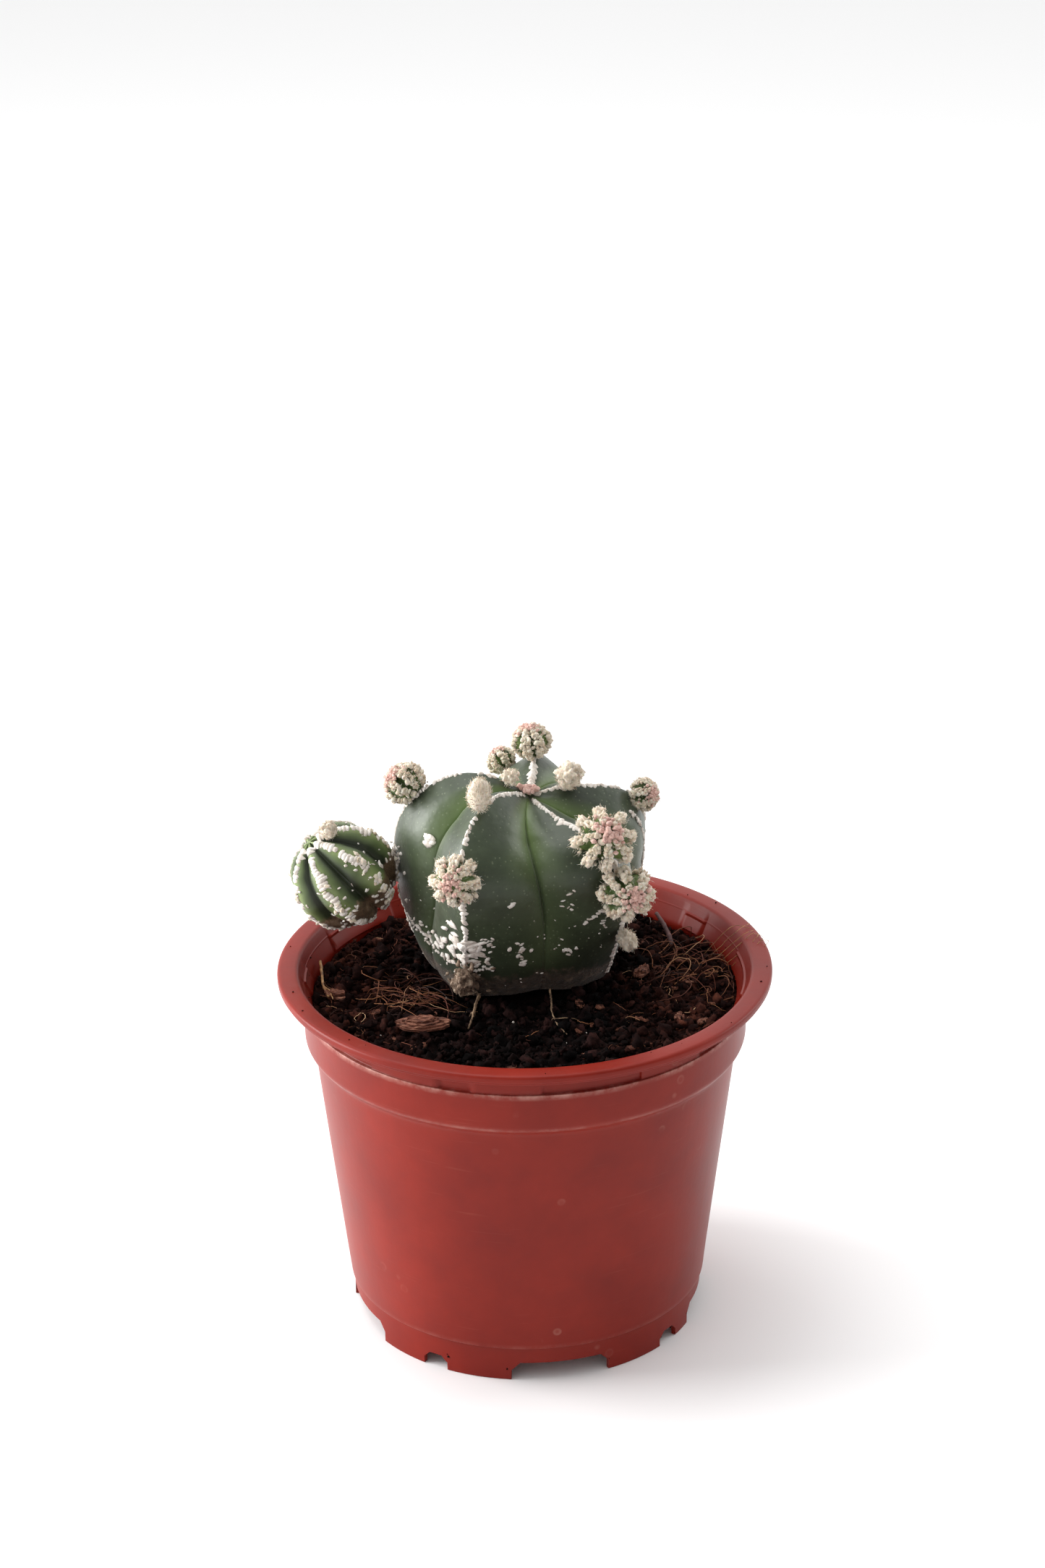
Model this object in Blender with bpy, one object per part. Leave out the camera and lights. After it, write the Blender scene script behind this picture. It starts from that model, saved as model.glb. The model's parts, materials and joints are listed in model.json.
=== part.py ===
"""A bishop's-cap cactus with its young offsets, growing in a moulded plastic nursery pot.

Sizes are in millimetres and are turned into metres where a mesh is made. The pot stands on
z = 0 with its axis on Z. Angles about the pot or the plant are in degrees, counted from -Y
(the front) towards +X (the right).
"""

import math

import bmesh
import bpy
from mathutils import Matrix, Vector, noise

MM = 0.001
GAP = 0.3                      # clearance kept between pieces that touch

# Pot: outer sizes, from the lip down to the foot
POT_HEIGHT = 79.5
POT_WALL = 1.0
POT_SEGMENTS = 80
LIP_RADIUS = 52.5
LIP_INNER_RADIUS = LIP_RADIUS - 4.3
LIP_THICKNESS = 2.1
LIP_EDGE_ROUND = 0.7
GROOVE_DEPTH = 0.9             # stacking groove under the lip, measured in from the ledge
GROOVE_HEIGHT = 3.8
BAND_RADIUS = LIP_RADIUS - 5.3  # straight band under the groove
BAND_HEIGHT = 9.3
SHOULDER_DROP = 1.7            # height of the taper from the band to the wall
WALL_TOP_RADIUS = BAND_RADIUS - 2.05
WALL_FOOT_RADIUS = 38.7
FOOT_STEP_HEIGHT = 8.0
FOOT_RADIUS = WALL_FOOT_RADIUS - 0.7
FLOOR_HEIGHT = 4.6             # clear height under the pot's floor
WIDE_NOTCH_ANGLES = (10.6, 81.0, 153.0, 225.0, 290.0)
WIDE_NOTCH_WIDTH = 21.0
WIDE_NOTCH_HEIGHT = 4.2
SMALL_NOTCH_ANGLES = (52.3, 117.0, 189.0, 257.0, 328.8)
SMALL_NOTCH_WIDTH = 5.7
SMALL_NOTCH_HEIGHT = 3.2
NOTCH_CORNER = 0.45            # a notch's cut corners, as a share of its height
DRAIN_RADIUS = 4.0
DRAIN_RING_RADIUS = 28.0

# Soil
SOIL_LEVEL = POT_HEIGHT - 6.9
SOIL_LUMP = 0.9
SOIL_LUMP_SIZE = 7.0
SOIL_SEGMENTS = 48
SOIL_RINGS = 8

# Stem: centre of its base, lean of its axis and the shape of its five ribs
STEM_BASE = Vector((-2.0, 13.0, SOIL_LEVEL + 1.2))
STEM_LEAN = Vector((3.2, -4.5))
STEM_HEIGHT = 40.0             # from the base up to the sunken apex
STEM_WAIST = 22.0              # height of the widest ring
STEM_RADIUS = 27.0
STEM_BASE_RADIUS = 21.5
NECK_RADIUS = 6.0
NECK_DEPTH = 8.0
RIM_POLAR = 139.0              # polar angle of the base's edge, seen from the waist's centre
RIB_STEPS = 10                 # facets from one crest to the next
VALLEY_SHARE = 0.85
GROOVE_SHARE = 0.10
# name: (angle at the apex, at the waist, at the base), radius share, shoulder rise, base share
RIBS = {
    "front_left": ((-52.0, -27.5, -32.0), 0.99, 1.5, 0.93),
    "front_right": ((28.0, 53.0, 66.0), 0.99, -4.0, 1.00),
    "back_right": ((108.0, 112.0, 112.0), 1.03, -1.0, 1.02),
    "back": ((176.0, 174.0, 173.0), 0.96, 3.5, 1.02),
    "back_left": ((-97.0, -99.0, -99.0), 1.02, 3.7, 0.86),
}

# Offsets: (rib, share of the way to the next rib, polar angle), radius, points of the star,
# lean across the rib and lean upwards
PUPS = {
    "pup_left_shoulder": (("back_left", 0.0, 53.0), 4.7, 8, -0.2, -0.3),
    "pup_front_left": (("front_left", 0.0, 70.0), 5.2, 8, 0.3, 0.0),
    "pup_front_right_upper": (("front_right", 0.0, 58.0), 6.5, 8, -0.45, -0.25),
    "pup_front_right_lower": (("front_right", 0.0, 80.0), 5.8, 8, -0.85, 0.0),
    "pup_back_top": (("back", 0.0, 26.0), 4.3, 7, 0.2, 0.0),
    "pup_back_side": (("back", 0.24, 41.0), 3.2, 7, 0.2, 0.3),
    "pup_back_right": (("back_right", 0.0, 58.0), 3.6, 7, -0.5, -0.6),
}
PUP_LENGTH_SHARE = 1.6         # a pup's length along its axis, in radii
BIG_OFFSET_PLACE = ("back_left", 0.0, 97.0)
BIG_OFFSET_AXIS = Vector((-0.85, -0.42, 0.27))
BIG_OFFSET_RADIUS = 11.6
BIG_OFFSET_LENGTH = 23.0
BIG_OFFSET_RIBS = 7

# Woolly areoles: place, half width, half length, lean across the rib and lean upwards
CROWN_BUD_REACH = 4.16         # from the sunken apex out to the bud beside it
CROWN_BUD_POLAR = math.degrees(math.atan(CROWN_BUD_REACH / (STEM_HEIGHT - STEM_WAIST)))
WOOL = {
    "wool_bud_front_left": (("front_left", 0.0, 39.0), 2.8, 4.2, 0.5, 1.2),
    "wool_bud_back_right": (("back_right", 0.0, 23.0), 2.7, 3.0, -0.9, 0.3),
    "wool_bud_back_left": (("back_left", 0.0, CROWN_BUD_POLAR), 1.8, 1.6, 0.9, 0.0),
    "wool_tuft_base_right": (("front_right", 0.0, 108.0), 1.8, 2.6, -0.6, 0.0),
    "dry_tuft_base_left": (("front_left", 0.0, 124.0), 2.3, 2.8, 0.6, 0.3),
}
APEX_WOOL_RADIUS = 1.9
APEX_WOOL_HEIGHT = 1.2
OFFSET_WOOL_RADIUS = 2.0
OFFSET_WOOL_AXIS = Vector((-0.25, -0.25, 0.93))

# Loose pieces on the soil. A place is (angle about the stem's base, share of the way from
# the stem's foot to the pot's wall, height above the soil).
ROOT_RADIUS = 0.4
TWIG_RADIUS = 0.6
FIBRE_RADIUS = 0.25
ROOTS = {
    "root_left": [(-18, 0.07, 1.3), (-19, 0.14, 2.0), (-18, 0.28, 1.4), (-17, 0.45, 0.8)],
    "root_right": [(20, 0.06, 1.3), (19, 0.12, 2.0), (17, 0.25, 1.4), (20, 0.42, 0.8)],
}
TWIG = [(111, 0.60, 5.0), (105, 0.63, 3.2), (98, 0.65, 1.2)]
STRAW = [(-87, 0.95, 1.8), (-77, 0.95, 1.2), (-68, 0.95, 1.1)]
COIR_LEFT = [
    [(-105, 0.14, 1.0), (-82, 0.26, 1.6), (-60, 0.38, 1.2), (-45, 0.40, 0.9)],
    [(-92, 0.34, 0.9), (-74, 0.52, 1.8), (-58, 0.62, 1.4), (-46, 0.64, 0.9)],
    [(-62, 0.10, 1.2), (-50, 0.22, 1.8), (-38, 0.26, 0.9)],
]
COIR_RIGHT = [
    [(84, 0.30, 0.9), (78, 0.55, 1.6), (80, 0.78, 1.6), (84, 0.90, 1.2)],
    [(70, 0.40, 0.9), (66, 0.62, 1.5), (68, 0.85, 1.0)],
    [(94, 0.28, 0.9), (90, 0.46, 1.3), (88, 0.62, 1.0)],
]
# name: angle, share, half length, half width, half height, heading
CHIPS = {
    "bark_chip_front_left": (-31.0, 0.53, 5.6, 3.0, 0.7, 5.0),
    "bark_chip_right": (74.0, 0.28, 2.6, 1.5, 0.8, 60.0),
    "bark_chip_left": (-66.0, 0.84, 2.4, 1.6, 0.7, -30.0),
}

PLASTIC = (0.250, 0.045, 0.030)
PEAT = (0.012, 0.006, 0.005)
SKIN = (0.055, 0.095, 0.060)
YOUNG_SKIN = (0.150, 0.200, 0.090)
FELT = (0.660, 0.540, 0.420)
DRY_FELT = (0.250, 0.170, 0.110)
BARK = (0.110, 0.035, 0.020)
FIBRE = (0.260, 0.110, 0.050)
ROOT = (0.200, 0.130, 0.080)


def clear_scene():
    for old in list(bpy.data.objects):
        bpy.data.objects.remove(old, do_unlink=True)


def material(name, colour, roughness):
    """A plain surface for one kind of piece."""
    found = bpy.data.materials.get(name)
    if found:
        return found
    surface = bpy.data.materials.new(name)
    surface.use_nodes = True
    shader = surface.node_tree.nodes["Principled BSDF"]
    shader.inputs["Base Color"].default_value = (*colour, 1.0)
    shader.inputs["Roughness"].default_value = roughness
    shader.inputs["Metallic"].default_value = 0.0
    return surface


def add_object(name, data, surface):
    thing = bpy.data.objects.new(name, data)
    bpy.context.scene.collection.objects.link(thing)
    data.materials.append(surface)
    return thing


def skin_rings(name, rings, surface, sharp_degrees=40.0):
    """A closed body from rings of points, top to bottom. A ring of one point is a pole."""
    mesh_data = bmesh.new()
    rows = [[mesh_data.verts.new(p) for p in ring] for ring in rings]
    for upper, lower in zip(rows, rows[1:]):
        count = max(len(upper), len(lower))
        for i in range(count):
            j = (i + 1) % count
            if len(upper) == 1:
                mesh_data.faces.new((upper[0], lower[i], lower[j]))
            elif len(lower) == 1:
                mesh_data.faces.new((upper[i], lower[0], upper[j]))
            else:
                mesh_data.faces.new((upper[i], lower[i], lower[j], upper[j]))
    return finish_mesh(name, mesh_data, surface, sharp_degrees)


def to_mesh(name, mesh_data):
    """Turns a body's faces outwards and its millimetres into metres."""
    bmesh.ops.recalc_face_normals(mesh_data, faces=mesh_data.faces)
    if mesh_data.calc_volume(signed=True) < 0.0:
        bmesh.ops.reverse_faces(mesh_data, faces=mesh_data.faces)
    bmesh.ops.scale(mesh_data, vec=(MM, MM, MM), verts=mesh_data.verts)
    data = bpy.data.meshes.new(name)
    mesh_data.to_mesh(data)
    mesh_data.free()
    return data


def finish_mesh(name, mesh_data, surface, sharp_degrees=40.0):
    data = to_mesh(name, mesh_data)
    data.shade_smooth()
    data.set_sharp_from_angle(angle=math.radians(sharp_degrees))
    return add_object(name, data, surface)


def around(radius, degrees, z, centre=(0.0, 0.0)):
    """The point at an angle from the front, on a level circle."""
    turn = math.radians(degrees)
    return Vector((centre[0] + radius * math.sin(turn), centre[1] - radius * math.cos(turn), z))


def through(knots, x):
    """A smooth value at x through (x, value) knots."""
    x = min(max(x, knots[0][0]), knots[-1][0])
    last = len(knots) - 1
    i = next(k for k in range(last) if x <= knots[k + 1][0])

    def slope(k):
        a, b = knots[max(k - 1, 0)], knots[min(k + 1, last)]
        return (b[1] - a[1]) / (b[0] - a[0])

    (x0, y0), (x1, y1) = knots[i], knots[i + 1]
    t = (x - x0) / (x1 - x0)
    m0, m1 = slope(i) * (x1 - x0), slope(i + 1) * (x1 - x0)
    return ((2 * t**3 - 3 * t**2 + 1) * y0 + (t**3 - 2 * t**2 + t) * m0
            + (3 * t**2 - 2 * t**3) * y1 + (t**3 - t**2) * m1)


def ease(t):
    t = min(max(t, 0.0), 1.0)
    return t * t * (3.0 - 2.0 * t)


# ---------------------------------------------------------------- pot

def groove_top():
    return POT_HEIGHT - LIP_THICKNESS


def band_top():
    return groove_top() - GROOVE_HEIGHT


def wall_top():
    return band_top() - BAND_HEIGHT - SHOULDER_DROP


def pot_outline():
    """(radius, z) down the outside, from the lip's top to the foot."""
    band_bottom = band_top() - BAND_HEIGHT
    groove = BAND_RADIUS - GROOVE_DEPTH
    lip_bottom = LIP_RADIUS - LIP_EDGE_ROUND
    return [
        (LIP_INNER_RADIUS, POT_HEIGHT),
        (LIP_RADIUS - LIP_EDGE_ROUND, POT_HEIGHT),
        (LIP_RADIUS, POT_HEIGHT - LIP_EDGE_ROUND),
        (LIP_RADIUS, groove_top()),
        (lip_bottom, groove_top()),
        (groove, groove_top()),
        (groove, band_top()),
        (BAND_RADIUS, band_top()),
        (BAND_RADIUS - 0.15, band_bottom),
        (WALL_TOP_RADIUS, wall_top()),
        (WALL_FOOT_RADIUS, FOOT_STEP_HEIGHT),
        (FOOT_RADIUS, FOOT_STEP_HEIGHT - 0.3),
        (FOOT_RADIUS, 0.0),
    ]


def inner_outline():
    """(radius, z) up the inside, from the floor to the lip."""
    return [
        (FOOT_RADIUS - POT_WALL, FLOOR_HEIGHT + POT_WALL),
        (WALL_FOOT_RADIUS - POT_WALL, FOOT_STEP_HEIGHT),
        (WALL_TOP_RADIUS - POT_WALL, wall_top()),
        (BAND_RADIUS - GROOVE_DEPTH - POT_WALL, band_top() - BAND_HEIGHT),
        (BAND_RADIUS - GROOVE_DEPTH - POT_WALL, band_top()),
    ]


def inner_radius(z):
    """The pot's inner radius at a height inside it."""
    outline = inner_outline()
    for (r0, z0), (r1, z1) in zip(outline, outline[1:]):
        if z <= z1:
            return r0 + (r1 - r0) * (z - z0) / (z1 - z0)
    return outline[-1][0]


def add_cutter(name, mesh_data):
    cutter = bpy.data.objects.new(name, to_mesh(name, mesh_data))
    bpy.context.scene.collection.objects.link(cutter)
    cutter.hide_render = True
    cutter.display_type = "WIRE"
    return cutter


def cut_away(thing, cutter):
    cut = thing.modifiers.new(cutter.name, "BOOLEAN")
    cut.operation = "DIFFERENCE"
    cut.solver = "EXACT"
    cut.object = cutter


def notch_cutter():
    """Foot notches and drain holes, as one cutter of separate blocks."""
    mesh_data = bmesh.new()
    ring = FOOT_RADIUS - POT_WALL / 2
    for angle in WIDE_NOTCH_ANGLES:
        add_notch(mesh_data, ring, angle, WIDE_NOTCH_WIDTH, WIDE_NOTCH_HEIGHT)
        add_drain(mesh_data, angle)
    for angle in SMALL_NOTCH_ANGLES:
        add_notch(mesh_data, ring, angle, SMALL_NOTCH_WIDTH, SMALL_NOTCH_HEIGHT)
    return add_cutter("foot_cutter", mesh_data)


def add_notch(mesh_data, ring, angle, width, height, columns=6):
    """A block with cut top corners, bent to follow the foot ring that it goes through."""
    corner = NOTCH_CORNER * height
    flat = width / 2 - corner
    tops = [(-width / 2, height - corner)]
    tops += [(flat * (2 * i / columns - 1), height) for i in range(columns + 1)]
    tops += [(width / 2, height - corner)]
    stands = []
    for x, top in tops:
        turn = angle + math.degrees(x / ring)
        stands.append([mesh_data.verts.new(around(ring + side * 2 * POT_WALL, turn, z))
                       for side, z in ((-1, -1.0), (-1, top), (1, top), (1, -1.0))])
    for near, far in zip(stands, stands[1:]):
        for i in range(4):
            j = (i + 1) % 4
            mesh_data.faces.new((near[i], near[j], far[j], far[i]))
    mesh_data.faces.new(stands[0])
    mesh_data.faces.new(stands[-1])


def add_drain(mesh_data, angle):
    centre = around(DRAIN_RING_RADIUS, angle, FLOOR_HEIGHT + POT_WALL / 2)
    add_cylinder(mesh_data, centre, DRAIN_RADIUS, 3 * POT_WALL, 12)


def add_cylinder(mesh_data, centre, radius, depth, segments):
    bmesh.ops.create_cone(mesh_data, cap_ends=True, segments=segments, radius1=radius,
                          radius2=radius, depth=depth, matrix=Matrix.Translation(centre))


def build_pot():
    """The pot: a turned wall, floor and lip, with notches cut through its foot."""
    outline = pot_outline()
    outline += [(FOOT_RADIUS - POT_WALL, 0.0), (FOOT_RADIUS - POT_WALL, FLOOR_HEIGHT)]
    rows = [[(0.0, 0.0, FLOOR_HEIGHT + POT_WALL)]]
    rows += [ring_of(r, z) for r, z in inner_outline()]
    rows += [ring_of(r, z) for r, z in outline]
    rows += [[(0.0, 0.0, FLOOR_HEIGHT)]]
    pot = skin_rings("pot", rows, material("moulded_polypropylene", PLASTIC, 0.35))
    cut_away(pot, notch_cutter())


def ring_of(radius, z):
    return [around(radius, 360.0 * i / POT_SEGMENTS, z) for i in range(POT_SEGMENTS)]


# ---------------------------------------------------------------- stem

def rib_angle(rib, polar):
    apex, waist, base = RIBS[rib][0]
    return through([(0.0, apex), (90.0, waist), (RIM_POLAR, base)], polar)


def rib_reach(rib, polar):
    """Distance from the waist's centre to a rib's crest."""
    _, share, rise, base_share = RIBS[rib]
    radius = STEM_RADIUS * share
    foot = STEM_BASE_RADIUS * base_share
    top = STEM_HEIGHT - STEM_WAIST
    knots = [(0.0, top), (32.0, top + 5.5 + rise), (62.0, radius * 1.035 + 0.35 * rise),
             (90.0, radius), (115.0, radius * 0.99), (RIM_POLAR, math.hypot(foot, STEM_WAIST))]
    return through(knots, polar)


def on_stem(reach, degrees, polar):
    """A point from its reach and its two angles, with the stem's lean."""
    tip = math.radians(polar)
    height = max(0.0, STEM_WAIST + reach * math.cos(tip))
    share = height / STEM_HEIGHT
    centre = (STEM_BASE.x + STEM_LEAN.x * share, STEM_BASE.y + STEM_LEAN.y * share)
    return around(reach * math.sin(tip), degrees, STEM_BASE.z + height, centre)


def crest(rib, polar):
    return on_stem(rib_reach(rib, polar), rib_angle(rib, polar), polar)


def skin_frame(place):
    """A place's point on the skin, its outward direction and the direction across the rib."""
    rib, share, polar = place
    names = list(RIBS)
    neighbour = names[(names.index(rib) + 1) % len(names)]
    turn = math.radians(rib_angle(rib, polar))
    across = Vector((math.cos(turn), math.sin(turn), 0.0))
    if share > 0.0:
        across = (flank_point(rib, neighbour, share + 0.02, polar)
                  - flank_point(rib, neighbour, share - 0.02, polar)).normalized()
    along = (flank_point(rib, neighbour, share, polar + 1.0)
             - flank_point(rib, neighbour, share, polar - 1.0)).normalized()
    point = flank_point(rib, neighbour, share, polar)
    outward = across.cross(along).normalized()
    if outward.dot(point - stem_middle()) < 0.0:
        outward.negate()
    return point, outward, across


def leaning(outward, across, sideways, upwards):
    return (outward + across * sideways + Vector((0.0, 0.0, upwards))).normalized()


def stem_middle():
    share = STEM_WAIST / STEM_HEIGHT
    return Vector((STEM_BASE.x + STEM_LEAN.x * share, STEM_BASE.y + STEM_LEAN.y * share,
                   STEM_BASE.z + STEM_WAIST))


def flank_point(left, right, t, polar):
    """A point on the skin between two ribs, t from 0 on the left crest to 1 on the right."""
    start, end = rib_angle(left, polar), rib_angle(right, polar)
    gap = (end - start) % 360.0
    blend = ease(t)
    reach = rib_reach(left, polar) * (1.0 - blend) + rib_reach(right, polar) * blend
    from_valley = abs(2.0 * t - 1.0)
    chord = VALLEY_SHARE * (1.0 - math.cos(math.radians(gap / 2)))
    hollow = chord * (1.0 - from_valley**1.8)
    hollow += GROOVE_SHARE * max(0.0, 1.0 - from_valley / 0.5)**2
    fade = min(1.0, polar / 45.0) * (1.0 - 0.75 * ease((polar - 85.0) / (RIM_POLAR - 85.0)))
    return on_stem(reach * (1.0 - hollow * fade), start + gap * t, polar)


def stem_ring(polar):
    names = list(RIBS)
    points = []
    for left, right in zip(names, names[1:] + names[:1]):
        points += [flank_point(left, right, i / RIB_STEPS, polar) for i in range(RIB_STEPS)]
    return points


def foot_radius(degrees):
    """Radius of the stem's foot at an angle about its base."""
    ring = [p - STEM_BASE for p in stem_ring(RIM_POLAR)]
    best = min(ring, key=lambda p: abs(turn_between(math.degrees(math.atan2(p.x, -p.y)), degrees)))
    return math.hypot(best.x, best.y)


def turn_between(a, b):
    return (a - b + 180.0) % 360.0 - 180.0


def build_stem():
    """The ribbed stem, closed below by its flat base and the root neck."""
    polars = [6, 13, 21, 30, 40, 50, 60, 70, 80, 90, 100, 110, 120, 130, RIM_POLAR]
    rings = [[crest("back", 0.0)]]
    rings += [stem_ring(float(p)) for p in polars]
    edge = rings[-1]
    level = STEM_BASE.z
    for share, drop in ((0.80, 0.5), (0.45, 0.5)):
        rings.append([Vector((STEM_BASE.x + (p.x - STEM_BASE.x) * share,
                              STEM_BASE.y + (p.y - STEM_BASE.y) * share, level - drop))
                      for p in edge])
    for z in (level - 0.8, level - NECK_DEPTH):
        rings.append([neck_point(p, z) for p in edge])
    rings.append([Vector((STEM_BASE.x, STEM_BASE.y, level - NECK_DEPTH))])
    return skin_rings("cactus_stem", rings, material("cactus_skin", SKIN, 0.5), 35.0)


def neck_point(point, z):
    offset = Vector((point.x - STEM_BASE.x, point.y - STEM_BASE.y, 0.0)).normalized()
    return Vector((STEM_BASE.x, STEM_BASE.y, z)) + offset * NECK_RADIUS


# ---------------------------------------------------------------- offsets and wool

def ribbed_ball(name, base, axis, radius, length, ribs, surface, rows=6, notch=0.16, full=0.8):
    """An offset: a ribbed ball that narrows to its base, its axis pointing off the stem."""
    axis = axis.normalized()
    side = axis.orthogonal().normalized()
    other = axis.cross(side)
    rings = [[base + axis * length]]
    for i in range(1, rows + 1):
        along = 0.5 + 0.5 * math.cos(math.pi * i / (rows + 0.6))
        swell = math.sin(math.pi * along**1.2)**full
        ring = []
        for k in range(2 * ribs):
            turn = math.pi * k / ribs
            reach = radius * swell * (1.0 - (notch if k % 2 else 0.0))
            ring.append(base + axis * length * along
                        + (side * math.cos(turn) + other * math.sin(turn)) * reach)
        rings.append(ring)
    rings.append([base])
    return skin_rings(name, rings, surface, 30.0)


def build_pups():
    for name, (place, radius, ribs, sideways, upwards) in PUPS.items():
        point, outward, across = skin_frame(place)
        axis = leaning(outward, across, sideways, upwards)
        ribbed_ball(name, point + outward * 2 * GAP, axis, radius, radius * PUP_LENGTH_SHARE,
                    ribs, material("young_skin", YOUNG_SKIN, 0.7))


def build_big_offset():
    """The large offset low on the left, with a tuft of wool on its upper side."""
    point, outward, _ = skin_frame(BIG_OFFSET_PLACE)
    axis = BIG_OFFSET_AXIS.normalized()
    base = point + outward * 2 * GAP + axis * GAP
    ribbed_ball("offset_left", base, axis, BIG_OFFSET_RADIUS, BIG_OFFSET_LENGTH,
                BIG_OFFSET_RIBS, material("young_skin", YOUNG_SKIN, 0.7), 11, 0.12, 0.62)
    out = OFFSET_WOOL_AXIS.normalized()
    middle = base + axis * BIG_OFFSET_LENGTH * 0.56
    reach = BIG_OFFSET_RADIUS + OFFSET_WOOL_RADIUS + GAP
    wool_ball("wool_tuft_offset", middle + out * reach, out, OFFSET_WOOL_RADIUS,
              OFFSET_WOOL_RADIUS, material("areole_felt", FELT, 0.9))


def wool_ball(name, centre, axis, half_width, half_length, surface):
    """A tuft of felt: a ball stretched along its axis."""
    mesh_data = bmesh.new()
    bmesh.ops.create_icosphere(mesh_data, subdivisions=2, radius=1.0)
    turn = Vector((0.0, 0.0, 1.0)).rotation_difference(axis).to_matrix()
    for vert in mesh_data.verts:
        local = Vector((vert.co.x * half_width, vert.co.y * half_width, vert.co.z * half_length))
        vert.co = centre + turn @ local
    return finish_mesh(name, mesh_data, surface)


def build_wool():
    felt = material("areole_felt", FELT, 0.9)
    for name, (place, half_width, half_length, sideways, upwards) in WOOL.items():
        point, outward, across = skin_frame(place)
        axis = leaning(outward, across, sideways, upwards)
        surface = material("dry_felt", DRY_FELT, 0.9) if name.startswith("dry") else felt
        wool_ball(name, point + outward * 2 * GAP + axis * half_length, axis,
                  half_width, half_length, surface)
    up = Vector((0.0, 0.0, 1.0))
    wool_ball("wool_apex", crest("back", 0.0) + up * (crown_rise() + 2 * GAP), up,
              APEX_WOOL_RADIUS, APEX_WOOL_HEIGHT, felt)


def crown_rise():
    """How far the crests stand above the sunken apex, at the edge of the apex wool."""
    edge = math.degrees(math.atan(APEX_WOOL_RADIUS / (STEM_HEIGHT - STEM_WAIST)))
    return max(crest(rib, edge).z for rib in RIBS) - crest("back", 0.0).z


# ---------------------------------------------------------------- soil and what lies on it

def soil_height(x, y):
    """Top of the soil, lumpy in the open and pressed level under the stem."""
    spot = Vector((x, y, 0.0)) / SOIL_LUMP_SIZE
    lump = SOIL_LUMP * noise.noise(spot)
    offset = Vector((x - STEM_BASE.x, y - STEM_BASE.y))
    under = 1.0 - ease((offset.length - STEM_BASE_RADIUS * 1.15) / 6.0)
    return SOIL_LEVEL + lump * (1.0 - under) - 0.2 * under


def build_soil():
    """The root ball: it fills the pot to just under the lip, with a hole for the root neck."""
    wall = inner_radius(SOIL_LEVEL) - GAP
    rings = [[(0.0, 0.0, soil_height(0.0, 0.0))]]
    for i in range(1, SOIL_RINGS + 1):
        ring = []
        for k in range(SOIL_SEGMENTS):
            spot = around(wall * i / SOIL_RINGS, 360.0 * k / SOIL_SEGMENTS, 0.0)
            ring.append((spot.x, spot.y, soil_height(spot.x, spot.y)))
        rings.append(ring)
    bottom = FLOOR_HEIGHT + POT_WALL + GAP
    for z in (band_top() - BAND_HEIGHT, wall_top(), FOOT_STEP_HEIGHT, bottom):
        radius = inner_radius(z) - GAP * 1.2
        rings.append([around(radius, 360.0 * k / SOIL_SEGMENTS, z) for k in range(SOIL_SEGMENTS)])
    rings.append([(0.0, 0.0, bottom)])
    soil = skin_rings("soil", rings, material("peat", PEAT, 0.95))
    cut_away(soil, neck_cutter())


def neck_cutter():
    mesh_data = bmesh.new()
    top = 4.0
    depth = NECK_DEPTH + 1.0 + top
    middle = Vector((STEM_BASE.x, STEM_BASE.y, STEM_BASE.z + top - depth / 2))
    add_cylinder(mesh_data, middle, NECK_RADIUS + 2 * GAP, depth, 24)
    return add_cutter("neck_cutter", mesh_data)


def soil_place(angle, share, height):
    """A place on the open soil, from the stem's foot (share 0) to the wall (share 1)."""
    turn = math.radians(angle)
    heading = Vector((math.sin(turn), -math.cos(turn)))
    centre = Vector((STEM_BASE.x, STEM_BASE.y))
    wall = inner_radius(SOIL_LEVEL) - 2 * GAP
    toward = centre.dot(heading)
    to_wall = -toward + math.sqrt(toward**2 - centre.length_squared + wall**2)
    foot = foot_radius(angle) + GAP
    spot = centre + heading * (foot + (to_wall - foot) * share)
    return Vector((spot.x, spot.y, soil_height(spot.x, spot.y) + height))


def strand(name, route, radius, surface, steps=3):
    """A thin round strand on a smooth line through its route's places."""
    data = bpy.data.curves.new(name, "CURVE")
    data.dimensions = "3D"
    data.bevel_depth = radius * MM
    data.bevel_resolution = 1
    data.use_fill_caps = True
    spots = [soil_place(*p) for p in route]
    knots = [[(i, spot[axis]) for i, spot in enumerate(spots)] for axis in range(3)]
    count = steps * (len(spots) - 1) + 1
    spline = data.splines.new("POLY")
    spline.points.add(count - 1)
    for i in range(count):
        at = Vector([through(knots[axis], i / steps) for axis in range(3)]) * MM
        spline.points[i].co = (*at, 1.0)
    return add_object(name, data, surface)


def build_strands():
    root = material("fine_root", ROOT, 0.8)
    coir = material("coir_fibre", FIBRE, 0.8)
    for name, route in ROOTS.items():
        strand(name, route, ROOT_RADIUS, root)
    strand("twig_right", TWIG, TWIG_RADIUS, material("twig_bark", ROOT, 0.8))
    strand("straw_left", STRAW, FIBRE_RADIUS * 2, material("dry_straw", FIBRE, 0.8))
    for side, routes in (("left", COIR_LEFT), ("right", COIR_RIGHT)):
        for number, route in enumerate(routes, 1):
            strand(f"coir_fibre_{side}_{number}", route, FIBRE_RADIUS, coir)


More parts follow.
